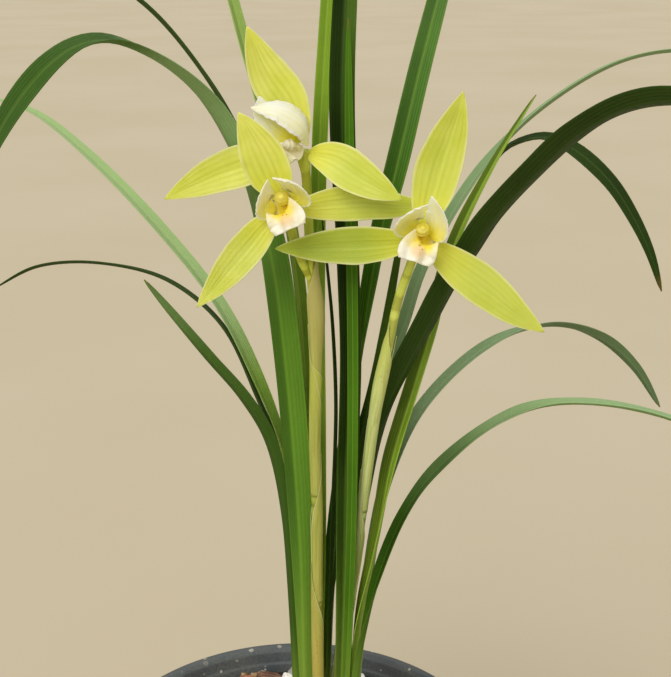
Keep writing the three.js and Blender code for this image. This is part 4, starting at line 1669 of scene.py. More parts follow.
@dataclass
class FlowerStem:
    """A slim flower stem with its sheathing scales, a loose bract near its top and its bloom stalks.

    The finishes are those of the stem, of the scales and of the bract. The knob is how much thicker
    the stem's end is, and the rise is how far each scale stands off the stem at its tip.
    """

    name: str
    path: tuple[Point, ...]
    scales: tuple[Scale, ...]
    loose: Scale
    finishes: tuple[StemFinish, StemFinish, StemFinish]
    stalks: tuple[tuple[Point, ...], ...] = ()
    foot_radius: float = 1.5
    top_radius: float = 1.2
    knob: float = 0.5
    rise: float = 0.24
    sheet_rows: int = 44
    sheet_columns: int = 32

    def _radius(self, share: float, angle: float) -> float:
        """Work out the stem's radius, with a low joint where each scale starts and faint ribs.

        Args:
            share: The share of the length.
            angle: The angle round the stem.

        Returns:
            The radius in millimetres.
        """
        joints = sum(math.exp(-(((share - scale.start) / 0.008) ** 2)) for scale in self.scales)
        ribs = 0.03 * math.sin(angle * 7.0)
        knob = self.knob * smooth((share - 0.97) / 0.02)
        plain = blend(self.foot_radius, self.top_radius, share)
        return plain - 0.1 + 0.12 * min(1.0, joints) + ribs + knob

    def _stalk_radius(self, share: float, angle: float) -> float:
        """Thicken a bloom's stalk towards its end and rib it faintly."""
        return blend(0.9, 1.25, share) + 0.06 * math.cos(angle * 6.0)

    def _wrap(self, route: Route, scale: Scale) -> Callable[[float, float], Placing]:
        """Lay a scale round the stem.

        Args:
            route: The stem's route.
            scale: The scale to lay.

        Returns:
            The scale's middle surface, for a share along and a place across.
        """

        def place(along: float, across: float) -> Placing:
            """Find the middle surface of the scale.

            Args:
                along: The share of the scale's length.
                across: From -1 at one margin to 1 at the other.

            Returns:
                The point, the surface's normal and half the thickness.
            """
            share = blend(scale.start, scale.tip, along)
            station = route.at(share)
            half = blend(math.pi * 1.02, 0.04, smooth((along - 0.42) / 0.6))
            angle = math.radians(scale.facing) + across * half
            out = station.side * math.cos(angle) + station.normal * math.sin(angle)
            reach = blend(self.foot_radius, self.top_radius, share) + 0.05
            reach += self.rise * smooth(along * 1.2) + 0.05 * across * smooth(along * 7.0)
            belly = math.exp(-(((along - 0.5) / 0.24) ** 2)) * 0.5 * (1.0 + math.cos(across * half))
            reach += scale.bulge * belly
            return station.origin + out * (reach * MM), out, blend(0.07, 0.05, along) * MM

        return place

    def build(self) -> None:
        """Build the stem with its stalks, its scales and its bract and dress them."""
        route = Route(self.path, (0.0, -1.0, 0.0))
        skin, cover, papery = self.finishes
        bm = bmesh.new()
        Rod(route, self._radius, sides=20, rows=110).add(bm)
        for stalk in self.stalks:
            Rod(Route(stalk, (0.0, -1.0, 0.0)), self._stalk_radius, sides=18, rows=30).add(bm)
        dress(finish_object(f"{self.name}_skin", bm), skin, [self.name])
        for part, scales, finish in (("scales", self.scales, cover), ("bract", (self.loose,), papery)):
            bm = bmesh.new()
            for scale in scales:
                add_sheet(bm, self.sheet_rows, self.sheet_columns, self._wrap(route, scale))
            dress(finish_object(f"{self.name}_{part}", bm), finish)


# ---------------------------------------------------------------- leaves


@dataclass(frozen=True)
class Tone:
    """How a leaf's painted shade and light look at a share of its length.

    The half on each side of the keel goes from -1, painted deep shade, over 0, the finish's own green,
    to 1, painted light. Grey is painted grey-green sheen, from 0 to 1.
    """

    share: float
    minus: float
    plus: float
    grey: float = 0.0


@dataclass
class Leaf:
    """A long folded leaf.

    Its fold opens towards `opens`, in degrees round Z from +X, and `turns` lists how far the blade
    has turned about its keel, in degrees, at shares of its length. `folds` are the slopes of the
    halves at the foot, where the leaf has reached its breadth, and at the tip, in degrees.
    """

    name: str
    kind: LeafKind
    opens: float
    width: float
    foot: tuple[float, float]
    path: tuple[Point, ...]
    turns: tuple[tuple[float, float], ...] = ((0.0, 0.0),)
    tones: tuple[Tone, ...] = (Tone(0.0, 0.0, 0.0),)
    dead_from: float = 0.985
    foot_level: float = 116.35
    foot_width: float = 3.0
    folds: tuple[float, float, float] = (42.0, 30.0, 16.0)
    broad_from: float = 0.3
    taper_from: float = 0.6
    taper_power: float = 2.2

    def _turn(self, share: float) -> float:
        """Return the blade's extra turn in degrees at a share of the length."""
        return keyed(self.turns, share)

    def _tint(self, bm: bmesh.types.BMesh) -> None:
        """Note each place's painted shade and light, painted sheen and dead tissue in the attribute `mood`.

        Args:
            bm: The leaf's blade.
        """
        mood, blade = vector_layer(bm, "mood"), vector_layer(bm, "blade")
        minus = [(tone.share, tone.minus) for tone in self.tones]
        plus = [(tone.share, tone.plus) for tone in self.tones]
        grey = [(tone.share, tone.grey) for tone in self.tones]
        for vert in bm.verts:
            across, along, _ = vert[blade]
            shade = blend(keyed(minus, along), keyed(plus, along), smooth(across / 0.16 + 0.5))
            ragged = 0.02 * noise.noise(Vector((across * 3.0, self.opens, 1.0)))
            dead = smooth((along + ragged - self.dead_from) / 0.02)
            vert[mood] = (shade, keyed(grey, along), dead)

    def _section(self, along: float, across: float) -> tuple[float, float]:
        """Fold the leaf along its keel.

        Args:
            along: The share of the length.
            across: From -1 at one margin to 1 at the other.

        Returns:
            The offsets to the side and along the normal, in millimetres.
        """
        past = max(0.0, (along - self.taper_from) / (1.0 - self.taper_from))
        taper = math.sqrt(max(0.0, 1.0 - past**self.taper_power))
        flat = max(0.25, blend(self.foot_width, self.width, smooth(along / self.broad_from)) * taper)
        foot, middle, tip = self.folds
        fold = blend(foot, middle, along / self.broad_from)
        if along >= self.broad_from:
            fold = blend(middle, tip, (along - self.broad_from) / (1.0 - self.broad_from))
        sway = noise.noise(Vector((along * 7.0, self.opens, self.width)))
        half = flat / 2.0 * across * (1.0 + 0.02 * sway)
        keel = 0.1 * flat
        lift = math.sqrt(half * half + keel * keel * 0.12) - keel * 0.35
        wave = noise.noise(Vector((along * 16.0, across * 1.5, self.opens * 0.37)))
        ripple = 0.014 * flat * across**2 * wave
        angle = math.radians(fold)
        return half * math.cos(angle), lift * math.sin(angle) + ripple

    def _thickness(self, along: float, across: float) -> float:
        """Return the thickness: full at the keel, thin at the margins and the tip."""
        return blend(0.62, 0.24, abs(across) ** 1.4) * blend(1.0, 0.5, smooth((along - 0.9) / 0.1))

    def build(self) -> None:
        """Build the leaf and dress it."""
        opens = math.radians(self.opens)
        face = (math.cos(opens), math.sin(opens), 0.0)
        route = Route(((*self.foot, self.foot_level), *self.path), face, self._turn)
        bm = bmesh.new()
        Blade(route, self._section, self._thickness, rows=110, columns=12).add(bm)
        self._tint(bm)
        dress(finish_object(f"{self.name}_blade", bm), self.kind.value, [self.name])


# ---------------------------------------------------------------- blooms


@dataclass(frozen=True)
class Tepal:
    """A sepal or petal: its width, the way its inner side looks and its offsets from the centre.

    Green is how far its flesh is darkened towards a deeper green, from 0 to 1.
    """

    width: float
    face: Point
    path: tuple[Point, ...]
    green: float = 0.0
    ripple: float = 0.03


@dataclass
class Bloom:
    """One bloom: three sepals, two hooded petals, a lip and a column round a centre.

    A young bloom has only just opened, and its lip and column are still a blushed cream. The heel
    is how far the lip starts behind and above its first point, on a lip 9.4 mm wide.
    """

    HEEL = Vector((0.0, 1.0, 3.2))
    HEEL_WIDTH = 9.4

    name: str
    centre: Point
    tepals: dict[str, Tepal]
    lip: Tepal
    column: tuple[Point, ...]
    column_radius: float
    young: bool = False

    def _offset(self, path: Sequence[Point]) -> list[Point]:
        """Move a path of offsets to the bloom's centre."""
        return [tuple(a + b for a, b in zip(point, self.centre)) for point in path]

    def _tepal(self, part: str, tepal: Tepal) -> Blade:
        """Shape a lance-shaped, slightly cupped tepal.

        Args:
            part: Its name, which also varies its ripples.
            tepal: Its sizes.

        Returns:
            The tepal's blade.
        """
        key = float(sum(ord(letter) for letter in self.name + part) % 97)
        frill = 0.05 * tepal.width if part.startswith("petal") else 0.0

        def section(along: float, across: float) -> tuple[float, float]:
            """Give the outline, the cup and the soft ripples of the margin.

            Args:
                along: The share of the length.
                across: From -1 at one margin to 1 at the other.

            Returns:
                The offsets to the side and along the normal, in millimetres.
            """
            outline = math.sin(math.pi * min(1.0, along * 0.97 + 0.03) ** 0.85) ** 0.8
            if along > 0.999:
                outline = 0.0
            margin = math.copysign(1.0, across)
            half = max(0.14 if along > 0.5 else 0.5, tepal.width / 2.0 * outline)
            half *= 1.0 + 0.035 * noise.noise(Vector((along * 6.0, key, 2.0 * margin)))
            cup = 0.1 * tepal.width * outline * across * across
            channel = -0.03 * tepal.width * outline * math.exp(-((across / 0.16) ** 2))
            wave = tepal.ripple * tepal.width * noise.noise(Vector((along * 8.0, across * 0.8 + key, key)))
            edge = smooth((abs(across) - 0.45) / 0.55)
            crimp = frill * noise.noise(Vector((along * 17.0, 3.0 * margin, key)))
            if frill > 0.0:
                half *= 1.06 + 0.1 * noise.noise(Vector((along * 23.0, key, across)))
            return half * across, cup + channel + wave * across**2 + crimp * edge

        def thickness(along: float, across: float) -> float:
            """Thin the flesh to its margins and tip."""
            return blend(0.6, 0.2, abs(across) ** 2) * blend(1.0, 0.55, smooth((along - 0.8) / 0.2))

        route = Route(self._offset(tepal.path), tepal.face)
        return Blade(route, section, thickness, rows=40, columns=16)

    def _lip(self) -> Blade:
        """Shape the lip: a trough with raised sides behind and a waved lobe in front.

        Returns:
            The lip's blade.
        """
        width = self.lip.width

        def section(along: float, across: float) -> tuple[float, float]:
            """Open the trough into the waved front lobe.

            Args:
                along: The share of the length.
                across: From -1 at one margin to 1 at the other.

            Returns:
                The offsets to the side and along the normal, in millimetres.
            """
            front = smooth((along - 0.52) / 0.26)
            close = smooth((along - 0.86) / 0.14)
            spread = smooth((along - 0.48) / 0.27)
            rise = 0.34 * width * smooth((along - 0.28) / 0.2)
            throat = blend(0.36, 0.31, smooth(along / 0.3))
            half = blend(width * blend(throat, 0.5, spread), width * 0.44, close)
            lift = blend(rise, -0.085 * width, front) * across * across
            wave = front * 0.048 * math.cos(across * 7.0)
            frill = 0.02 * smooth((abs(across) - 0.55) / 0.45) * math.sin(along * 26.0 + across * 3.0)
            keels = 0.045 * (1.0 - front) * math.exp(-(((abs(across) - 0.24) / 0.09) ** 2))
            keels *= smooth((along - 0.4) / 0.12)
            return half * across * (1.0 - 0.02 * close), lift + width * (wave + frill + keels)

        def thickness(along: float, across: float) -> float:
            """Thin the lip to its margins."""
            return blend(0.55, 0.26, across * across)

        heel = tuple(Vector(self.lip.path[0]) + self.HEEL * (width / self.HEEL_WIDTH))
        route = Route(self._offset((heel, *self.lip.path)), self.lip.face)
        return Blade(route, section, thickness, rows=44, columns=24)

    def _column(self) -> bmesh.types.BMesh:
        """Shape the column with its rounded cap.

        Returns:
            The column.
        """

        def radius(share: float, angle: float) -> float:
            """Swell the column to its cap, with a shallow face in front and a neck below the cap.

            Args:
                share: The share of the length.
                angle: The angle round the column.

            Returns:
                The radius in millimetres.
            """
            full = blend(0.9, self.column_radius, smooth(share * 1.4))
            neck = 1.0 - 0.07 * math.exp(-(((share - 0.72) / 0.05) ** 2))
            dome = math.sqrt(max(0.02, 1.0 - (max(0.0, share - 0.55) / 0.45) ** 2))
            hollow = 1.0 - 0.12 * max(0.0, -math.sin(angle)) * smooth(share * 2.0)
            return full * neck * dome * hollow

        bm = bmesh.new()
        Rod(Route(self._offset(self.column), (0.0, 0.0, 1.0)), radius, 20, 34).add(bm)
        return bm

    def build(self) -> None:
        """Build the bloom's pieces and dress them."""
        for part, tepal in self.tepals.items():
            kind = TepalKind.PETAL if part.startswith("petal") else TepalKind.SEPAL
            bm = bmesh.new()
            self._tepal(part, tepal).add(bm)
            mood = vector_layer(bm, "mood")
            for vert in bm.verts:
                vert[mood] = (tepal.green, 0.0, 0.0)
            node = f"{self.name}_{part}"
            dress(finish_object(f"{node}_blade", bm), kind.value, [node])
        bm = bmesh.new()
        self._lip().add(bm)
        lip = finish_object(f"{self.name}_lip_lobe", bm)
        dress(lip, YOUNG_LIP if self.young else LIP, [f"{self.name}_lip"])
        column = finish_object(f"{self.name}_column_cap", self._column())
        dress(column, YOUNG_COLUMN if self.young else COLUMN, [f"{self.name}_column"])


# ---------------------------------------------------------------- the plant's own sizes

ROOM_BY_SHOOT = 2.2
ROOM_BY_STEM = 2.6

SHOOTS = (
    Shoot("shoot_left", 3.6, 0.6, 4.7, ((125, 20), (185, 27), (245, 17)), ((155, 15), (215, 22), (95, 12))),
    Shoot("shoot_right", 14.8, -1.0, 4.7, ((-58, 14), (-10, 24), (42, 19)), ((-35, 18), (18, 14), (68, 12))),
    Shoot("shoot_back", 9.6, 11.4, 4.4, ((35, 18), (90, 25), (145, 21)), ((62, 14), (118, 17), (170, 12))),
)

STEMS = (
    FlowerStem(
        "stem_left",
        (
            (9, -8.2, 97), (8.6, -7.9, 116), (7.2, -6.8, 147), (7, -6, 175), (7, -6.2, 196),
            (6.6, -6.8, 219), (7, -7.6, 240), (6.4, -8.6, 256), (5.6, -9.4, 272), (4.9, -9.4, 288),
            (4.2, -10.3, 293.6),
        ),
        (Scale(0.06, 0.26, 200), Scale(0.2, 0.44, 20), Scale(0.38, 0.6, 190), Scale(0.54, 0.78, 350),
         Scale(0.66, 0.74, 20)),
        Scale(0.7, 0.885, 162, 1.3),
        (STEM_SKIN, STEM_SCALES, STEM_BRACT),
        (((6, -9, 262), (3.8, -10.8, 267), (2, -12.4, 273), (0.8, -14, 279.4), (0.4, -15.4, 281.2)),),
    ),
    FlowerStem(
        "stem_right",
        (
            (9.9, 4.6, 97), (10.5, 4.4, 118), (13, 3.4, 148), (16.2, 2.2, 170), (18.6, 0.8, 191),
            (20.4, -1.2, 209.5), (22.2, -3.6, 226), (25, -5.8, 243), (27.4, -7.8, 257),
            (29.6, -10.4, 265), (31.4, -12.8, 271.6), (32.1, -14.3, 273.6),
        ),
        (Scale(0.06, 0.24, 30), Scale(0.18, 0.42, 210), Scale(0.36, 0.62, 0), Scale(0.55, 0.84, 180)),
        Scale(0.66, 0.86, 50, 0.5),
        (PALE_SKIN, PALE_SCALES, PALE_SCALES),
    ),
)

# Each leaf's tones paint shade and light on the two halves of its blade, and their grey paints sheen.
LEAVES = (
    Leaf("leaf_left_long", LeafKind.MID, 72, 8.4, (3.4, -3), (
        (3.2, -3.6, 150), (2.4, -4, 190), (-0.4, -3.6, 235), (-3.8, -3.4, 266), (-8, -4.6, 283.5),
        (-12.3, -6, 293.5), (-17, -8, 302.5), (-23, -12.5, 310.3), (-29.5, -18.5, 316),
        (-36.5, -25.5, 319.5), (-42, -32, 319), (-46, -37, 316.5), (-49.5, -41, 313),
        (-53.5, -45.5, 307.5), (-57.5, -50, 300), (-60.5, -54, 291.5)),
        ((0.5, 0), (0.68, -30), (0.78, -44), (0.85, -44), (0.92, -68)),
        (Tone(0, 0.3, 0.5), Tone(0.12, 0.25, 0.4), Tone(0.25, -0.15, 0.45), Tone(0.33, -0.55, 0.55),
         Tone(0.46, -0.5, 0.5), Tone(0.58, -0.1, -0.05, 0.1), Tone(0.64, -0.1, 0, 0.75),
         Tone(0.76, 0, 0, 0.8), Tone(0.82, -0.5, -0.5, 0.1))),
    Leaf("leaf_left_thin", LeafKind.DARK, 0, 4.4, (3.8, 0.3), (
        (3.7, 0.8, 150), (3, 3, 195), (-0.4, 6.6, 240), (-5.5, 10, 272.5), (-13.5, 15, 295),
        (-26, 27, 312.5), (-40.5, 40, 325.5), (-60, 56, 334), (-80, 70, 330))),
    Leaf("leaf_left_bright", LeafKind.BRIGHT, -35, 5.4, (5, 3.8), (
        (5.4, 5, 150), (4.8, 7.4, 190), (3.4, 10, 235), (0.4, 12, 266), (-5, 15.6, 292),
        (-11.5, 23, 314.5), (-17, 32, 332), (-26, 42, 352), (-38, 52, 366)),
        tones=(Tone(0, 0.1, 0.1), Tone(0.6, 0.1, 0.1, 0.1), Tone(0.8, 0, 0, 0.35))),
    Leaf("leaf_left_pale", LeafKind.BRIGHT, 8, 5, (1.3, 1.6), (
        (1.3, 2.4, 150), (0.5, 4.2, 182), (-2, 5.6, 208.5), (-10.5, 9, 233), (-19.5, 14, 249.5),
        (-38, 28, 268.5), (-57.5, 43, 284), (-74, 56, 293.5), (-92, 70, 297)),
        ((0.3, 0), (0.5, -44)),
        (Tone(0, 0.2, 0.2), Tone(0.3, 0.4, 0.4), Tone(0.45, 0.6, 0.5, 0.1), Tone(0.56, 0.2, 0.2, 0.8))),
    Leaf("leaf_left_low", LeafKind.DARK, -25, 3, (2.7, 4.4), (
        (2.4, 6.4, 150), (1.2, 10, 182), (-3, 14.2, 204.5), (-9.5, 20, 219), (-20, 32, 237),
        (-36, 45, 246.5), (-56.5, 60, 248), (-84, 84, 241), (-104, 100, 229)),
        ((0.3, 0), (0.45, 14), (0.65, 0))),
    Leaf("leaf_left_short", LeafKind.MID, 60, 4, (0.8, -0.8), (
        (0.6, -0.2, 145), (-0.2, 0.6, 172), (-1.7, 0.9, 195), (-5.2, -1.3, 216), (-11, -6.6, 230),
        (-19, -11.4, 242.5), (-28, -17, 257), (-32.5, -22, 265.5)),
        ((0.5, 0), (0.7, 14)),
        (Tone(0, -0.1, -0.1), Tone(0.3, -0.95, -0.9), Tone(0.55, -0.95, -0.85, 0.1),
         Tone(0.8, -0.8, -0.6, 0.2), Tone(0.97, 0, 0, 0.5))),
    Leaf("leaf_upright_pale", LeafKind.BRIGHT, -85, 4.2, (6.6, -0.6), (
        (6.8, 0, 145), (7.4, 2.6, 180), (7.4, 5.2, 217), (7.2, 6.4, 250), (7.9, 7.2, 292),
        (10, 10, 327), (11.4, 13.4, 352), (12.6, 17, 372)),
        tones=(Tone(0, 0.1, 0.1), Tone(0.5, 0.2, 0.2), Tone(0.7, 0.4, 0.4))),
    Leaf("leaf_upright_thin", LeafKind.DARK, 175, 2.8, (7.7, 1.7), (
        (10, 0.8, 145), (10.8, 0.6, 172), (11.5, 0.9, 198.5), (12.2, 1.5, 225), (11.3, 2.3, 247),
        (9.8, 3, 263), (8.4, 3.6, 276))),
    Leaf("leaf_centre_dark", LeafKind.DARK, -92, 6.8, (12.6, -1.4), (
        (13.2, -2, 140), (13.8, -2, 165), (14.2, -1.6, 200), (15.2, -0.4, 240), (14.5, 1.2, 264),
        (13.4, 4, 302), (14.2, 7.5, 327), (16, 12, 356), (18.6, 18, 384)),
        ((0, 0), (0.3, 28), (0.55, 28), (0.75, 0)),
        (Tone(0, 0.5, 0.5), Tone(0.15, 0.45, 0.4), Tone(0.3, 0.3, 0.15), Tone(0.42, 0.15, -0.1),
         Tone(0.55, 0.1, -0.15), Tone(0.8, 0.25, -0.4))),
    Leaf("leaf_centre_slim", LeafKind.MID, -92, 3, (13.4, -3.9), (
        (14.4, -4.9, 142), (15.5, -4.9, 170), (16.2, -4.4, 200), (16.3, -3.2, 240), (15.8, -1.6, 272),
        (15.2, 0, 298), (14.9, 1.8, 323)),
        tones=(Tone(0, 0.1, 0.1),)),
    Leaf("leaf_right_tall", LeafKind.MID, -100, 6.4, (8.8, 8.6), (
        (9.4, 7.6, 145), (11, 7, 174), (14.2, 6.6, 205), (18.6, 8.8, 236), (22.5, 12, 261.5),
        (27.5, 15, 284.5), (33, 20, 308), (38, 25, 327), (44, 33, 350), (51, 43, 370)),
        ((0.05, 0), (0.25, -56), (0.45, -56), (0.55, -38), (0.68, 0)),
        (Tone(0, 0.2, 0.2), Tone(0.5, 0, -0.2), Tone(0.9, -0.05, -0.25, 0.15))),
    Leaf("leaf_right_long", LeafKind.DARK, 135, 8.6, (12.5, 9.6), (
        (14.8, 10.6, 145), (17.6, 10.4, 172), (20.2, 9.8, 196), (22.6, 8, 212), (25.5, 4.5, 224),
        (29.6, 2, 234.5), (35.5, -1, 248), (40, -4.5, 259), (44.5, -8.5, 268.5), (48, -13, 276.5),
        (56.5, -28, 292), (62.5, -42, 302.5), (69, -56, 309.6), (75, -68, 312.2), (81, -79, 311.6),
        (85.5, -86, 308.2), (88.5, -91, 303.6)),
        ((0.2, 0), (0.45, -13), (0.7, -18), (0.78, -25), (0.9, -54)),
        (Tone(0, 0, 0), Tone(0.3, -0.15, -0.15), Tone(0.6, -0.2, -0.05))),
    Leaf("leaf_right_folded", LeafKind.BRIGHT, 172, 6.6, (16.4, -1.4), (
        (17.1, -2.2, 142), (18.8, -2.8, 163), (23.7, -1.3, 190), (27.2, 2.4, 209), (33, 8.4, 227.4),
        (37.2, 11.4, 241.4), (43, 13.4, 265), (52.5, 18, 284.5), (64, 25, 302.5)),
        ((0.15, 0), (0.35, 20), (0.5, 42), (0.65, 42), (0.8, 30), (0.95, 20)),
        (Tone(0, 0.1, 0.1), Tone(0.2, 0.2, -0.4), Tone(0.5, 0.25, -0.7), Tone(0.85, 0.3, -0.6))),
    Leaf("leaf_right_grey", LeafKind.GREY, -150, 5.2, (10.4, 14), (
        (10.6, 15.8, 145), (12.6, 18.4, 176), (17.6, 20.4, 203), (23.6, 21.8, 220), (31, 25, 239.5),
        (36.5, 30, 255), (53, 42, 280), (70.5, 50, 296), (96, 60, 308.5), (122, 70, 309), (142, 78, 298)),
        ((0.1, 0), (0.45, 9), (0.58, 2), (0.7, -24), (0.9, -14)),
        (Tone(0, 0, 0), Tone(0.3, 0, 0, 0.2), Tone(0.5, 0.05, 0.05, 0.5))),
    Leaf("leaf_right_behind", LeafKind.DARK, 178, 5.2, (12.7, 12.2), (
        (13.6, 13.6, 145), (16, 15.2, 176), (18.8, 15, 196), (21.9, 14.5, 210), (29.5, 17, 225),
        (37, 20, 241.5), (42.5, 22.5, 258.5), (46, 25, 266.5), (50, 27, 275.5), (53.5, 28, 283),
        (57, 28, 287.5), (61, 26.5, 290), (67, 23, 291.5), (74.5, 18, 288.5), (82, 13, 282),
        (87, 8, 274.5), (91, 3, 266), (94, 0, 256.5)),
        ((0.6, 0), (0.7, -12), (0.78, 0), (0.86, 45)),
        (Tone(0, -0.2, -0.2),)),
    Leaf("leaf_right_arched", LeafKind.GREY, 195, 5.2, (17.8, 0.8), (
        (19, 2.2, 145), (21.4, 5.4, 170), (26.5, 12, 198), (36.5, 23, 216), (55.5, 36, 229.8),
        (74, 46, 233), (92, 55, 226.5), (105, 61, 215), (115, 65, 200)),
        ((0.05, 0), (0.25, 20), (0.62, 24), (0.74, 0), (0.9, -30)),
        (Tone(0, 0, 0), Tone(0.35, 0, 0, 0.4), Tone(0.5, 0, 0, 0.6), Tone(0.66, 0, 0, 0.5),
         Tone(0.76, -0.4, -0.4, 0))),
    Leaf("leaf_right_low", LeafKind.MID, 155, 4.6, (17.2, -3.9), (
        (17.9, -6, 147), (20.4, -6.8, 165), (24, -8.8, 182.5), (29.5, -12.6, 200), (37.5, -20, 217),
        (54, -36, 238), (68.5, -50, 245.4), (86, -67, 246), (100, -81, 239)),
        ((0.16, 0), (0.34, 54), (0.5, 40), (0.65, 14), (0.75, -18), (0.85, -32)),
        (Tone(0, 0.1, 0.1), Tone(0.25, -0.4, -0.4), Tone(0.4, -0.7, -0.7), Tone(0.52, -0.55, -0.5, 0.3),
         Tone(0.65, -0.15, -0.1, 0.7), Tone(0.75, 0, 0, 0.8))),
    Leaf("leaf_right_slim", LeafKind.DARK, -120, 3, (7.4, 12.4), (
        (8.8, 12, 145), (12, 11.4, 176), (17.4, 10.8, 207), (22.2, 9.8, 228), (25.2, 9.6, 245),
        (28, 9.8, 263), (30, 10.4, 277)),
        tones=(Tone(0, 0.2, 0.2),)),
)

BLOOMS = (
    Bloom(
        "bloom_top",
        (4.1, -12, 294),
        {
            "sepal_upper": Tepal(10.6, (0.2, -1, 0.3), (
                (0, 1.1, 1.7), (-2, 1.8, 7), (-4, 1.5, 11.5), (-7, 0.8, 16), (-9.5, -0.6, 21),
                (-12, -2.5, 28))),
            "sepal_right": Tepal(9.4, (0.2, -1, 0.2), (
                (1.6, 0.7, -0.9), (7.5, -2, -2), (12, -4.2, -4.5), (16.5, -5.6, -7), (23, -6, -10.5)), 0.35),
            "sepal_left": Tepal(9.8, (0, -1, 0.1), (
                (-1.5, 0.9, -1), (-8, 1.6, -2.2), (-14.5, 2, -4), (-21.5, 2, -6.5), (-27, 1.5, -9),
                (-32.5, 0, -11.5)), 0.1),
            "petal_right": Tepal(7.8, (-0.5, 0.5, -0.7), (
                (1.4, -1, 1.6), (0.4, -3, 6.2), (-4.8, -4.6, 9.8), (-11.4, -4.9, 10.4))),
            "petal_left": Tepal(7.2, (0.3, -1, 0.2), (
                (-1.7, -0.7, 2.4), (-5.2, -1.6, 5.3), (-8.4, -2.2, 8.6), (-9.6, -2, 12.6))),
        },
        Tepal(5.4, (0.2, 0, 1), (
            (-1.3, -2.5, -0.3), (-3.1, -4, 0), (-4.4, -4.7, -0.4), (-5.1, -4.9, -1.4))),
        ((-0.9, -2.6, 1.2), (-2.6, -3.9, 1.7), (-4.1, -4.8, 1.9)),
        1.6,
        young=True,
    ),
    Bloom(
        "bloom_lower",
        (0.4, -17, 281.6),
        {
            "sepal_upper": Tepal(10.6, (0, -1, -0.2), (
                (-0.5, 0.7, 1.9), (-2.9, -1.4, 7), (-5, -3.2, 12.5), (-7.8, -4.8, 18.5), (-10, -6, 22.5))),
            "sepal_right": Tepal(8.4, (0, -1, 0.1), (
                (1.7, 0.8, -0.6), (11, 3.4, 0), (18, 5.2, 0), (27, 6.6, -1), (34.5, 7.2, -0.8)), 0.35),
            "sepal_left": Tepal(8.2, (0, -1, 0.1), (
                (-1.2, 0.7, -1.4), (-5, -0.6, -4.5), (-8, -1.6, -8), (-12, -3, -12.5),
                (-17, -3.5, -18.5), (-21, -4, -23)), 0.35),
            "petal_right": Tepal(7.6, (-0.55, -0.7, -0.4), (
                (2, -0.7, 1.6), (3.3, -2.3, 3.3), (1.6, -4.6, 6.4), (-2.8, -5.8, 7.9))),
            "petal_left": Tepal(6.6, (0.75, -0.65, 0), (
                (-2.5, -1, -0.2), (-4.9, -2.4, 0.6), (-4.9, -4.2, 3.5), (-3.8, -5.1, 7.4))),
        },
        Tepal(9.2, (-0.36, -0.2, 0.9), (
            (-0.1, -1.9, -1.6), (-0.1, -4.4, -0.9), (0.2, -6.3, -1.5), (1.1, -7.2, -3.7))),
        ((-0.3, -2, 1.2), (-0.7, -3.5, 2.5), (-0.9, -4.8, 3.5)),
        1.95,
    ),
    Bloom(
        "bloom_right",
        (32.2, -16, 274),
        {
            "sepal_upper": Tepal(10.8, (0, -1, 0.1), (
                (0.2, 0.8, 1.8), (2, 2, 10), (4, 2, 18), (6.5, 1, 26), (8.5, -1, 34)), 0.35),
            "sepal_right": Tepal(9.6, (0, -1, 0.2), (
                (1.5, 0.7, -1.2), (8, -0.8, -6.5), (15, -2, -11.5), (22.5, -2.5, -17.5),
                (29.5, -2, -22.5)), 0.45),
            "sepal_left": Tepal(9, (0, -1, 0.1), (
                (-1.6, 0.7, -0.9), (-10, 0.5, -1.5), (-18.5, 1, -2), (-28, 1, -2.5), (-34.5, 0, -2.5)), 0.9),
            "petal_right": Tepal(6.8, (-0.6, -0.75, 0), (
                (2, -0.8, 0.4), (3.5, -2.4, 2.4), (3.3, -4, 6.5), (1.6, -5.2, 11))),
            "petal_left": Tepal(7.6, (0.5, -0.7, -0.4), (
                (-1.9, -0.7, 1.8), (-3.8, -2.3, 4), (-2.6, -4.7, 7), (0.7, -6.2, 9.2))),
        },
        Tepal(9, (0.25, -0.2, 0.95), (
            (-0.1, -1.9, -1.5), (-0.5, -4.4, -0.7), (-1.3, -6.3, -1.5), (-2.1, -7.3, -3.9))),
        ((-0.1, -2, 1.2), (-0.2, -3.5, 2.6), (-0.2, -4.8, 3.7)),
        2.05,
    ),
)


# ---------------------------------------------------------------- studio


@dataclass(frozen=True)
class Sun:
    """A far soft light: the way to it, how wide it is seen in degrees, its strength and its tone."""

    name: str
    towards: Point
    softness: float
    strength: float
    tone: str

    def hang(self) -> None:
        """Hang the light."""
        data = bpy.data.lights.new(self.name, "SUN")
        data.angle = math.radians(self.softness)
        data.energy = self.strength
        data.color = colour(self.tone)[:3]
        sun = bpy.data.objects.new(self.name, data)
        sun.rotation_euler = Vector(self.towards).to_track_quat("Z", "Y").to_euler()
        bpy.context.scene.collection.objects.link(sun)


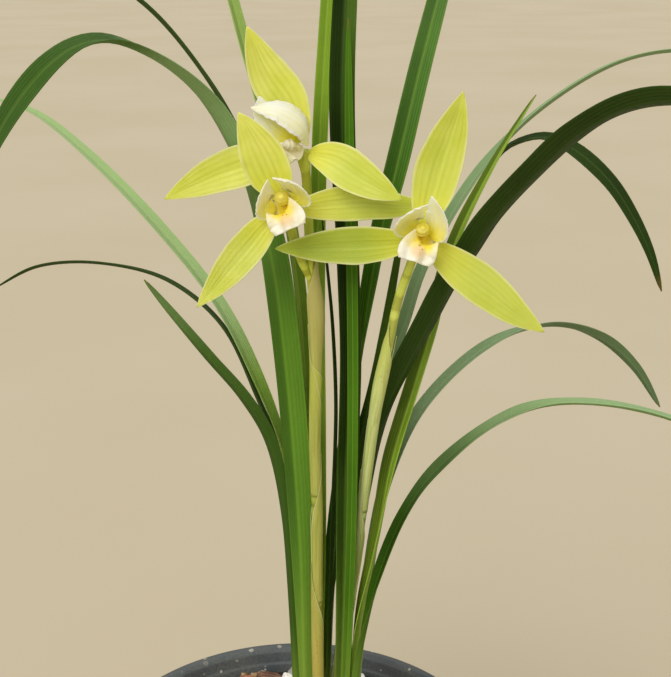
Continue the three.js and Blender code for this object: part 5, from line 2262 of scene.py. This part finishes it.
@dataclass
class Studio:
    """The pale floor, the soft lights and the camera at the photograph's place.

    The camera's place and the floor's drop are in millimetres, the floor's size in metres.
    """

    camera_place: Point = (11.9, -291.0, 338.6)
    camera_pitch: float = 18.0
    focal_pixels: float = 1200.0
    frame_pixels: float = 677.0
    sensor: float = 36.0
    sky: str = "f4f1ea"
    sky_strength: float = 0.5
    floor_size: float = 25.0
    floor_drop: float = 0.2
    suns: tuple[Sun, ...] = (
        Sun("key", (-0.45, -1.0, 0.9), 40.0, 2.2, "fffcf6"),
        Sun("top", (0.25, 0.45, 1.0), 60.0, 0.9, "fffdf6"),
    )

    def _floor(self) -> None:
        """Lay the floor and keep it out of the object."""
        bm = bmesh.new()
        bmesh.ops.create_grid(bm, x_segments=1, y_segments=1, size=self.floor_size)
        bmesh.ops.translate(bm, vec=(0.0, 0.0, -self.floor_drop * MM), verts=bm.verts[:])
        floor = finish_object("floor", bm)
        floor.data.materials.append(FloorFinish().material())

    def _camera(self) -> None:
        """Place the camera where the photograph was taken from."""
        data = bpy.data.cameras.new("camera")
        data.sensor_width = self.sensor
        data.lens = self.focal_pixels * self.sensor / self.frame_pixels
        data.clip_start = 0.01
        data.clip_end = 100.0
        camera = bpy.data.objects.new("camera", data)
        camera.location = Vector(self.camera_place) * MM
        camera.rotation_euler = (math.radians(90.0 - self.camera_pitch), 0.0, 0.0)
        bpy.context.scene.collection.objects.link(camera)
        bpy.context.scene.camera = camera

    def build(self) -> None:
        """Build the studio."""
        self._floor()
        self._camera()
        for sun in self.suns:
            sun.hang()
        world = bpy.data.worlds.new("studio")
        world.use_nodes = True
        sky = world.node_tree.nodes["Background"]
        sky.inputs["Color"].default_value = colour(self.sky)
        sky.inputs["Strength"].default_value = self.sky_strength
        scene = bpy.context.scene
        scene.world = world
        scene.view_settings.view_transform = "Standard"


# ---------------------------------------------------------------- the whole


def main() -> None:
    """Build the studio and the potted orchid."""
    logging.basicConfig(level=logging.INFO, format="%(message)s")
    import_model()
    Studio().build()
    pot = NurseryPot()
    pot.build()
    free = [(shoot.x, shoot.y, shoot.radius + ROOM_BY_SHOOT) for shoot in SHOOTS]
    free += [(stem.path[0][0], stem.path[0][1], ROOM_BY_STEM) for stem in STEMS]
    PottingMix(pot).build(free)
    for part in (*SHOOTS, *STEMS, *LEAVES, *BLOOMS):
        part.build()


if __name__ == "__main__":
    main()
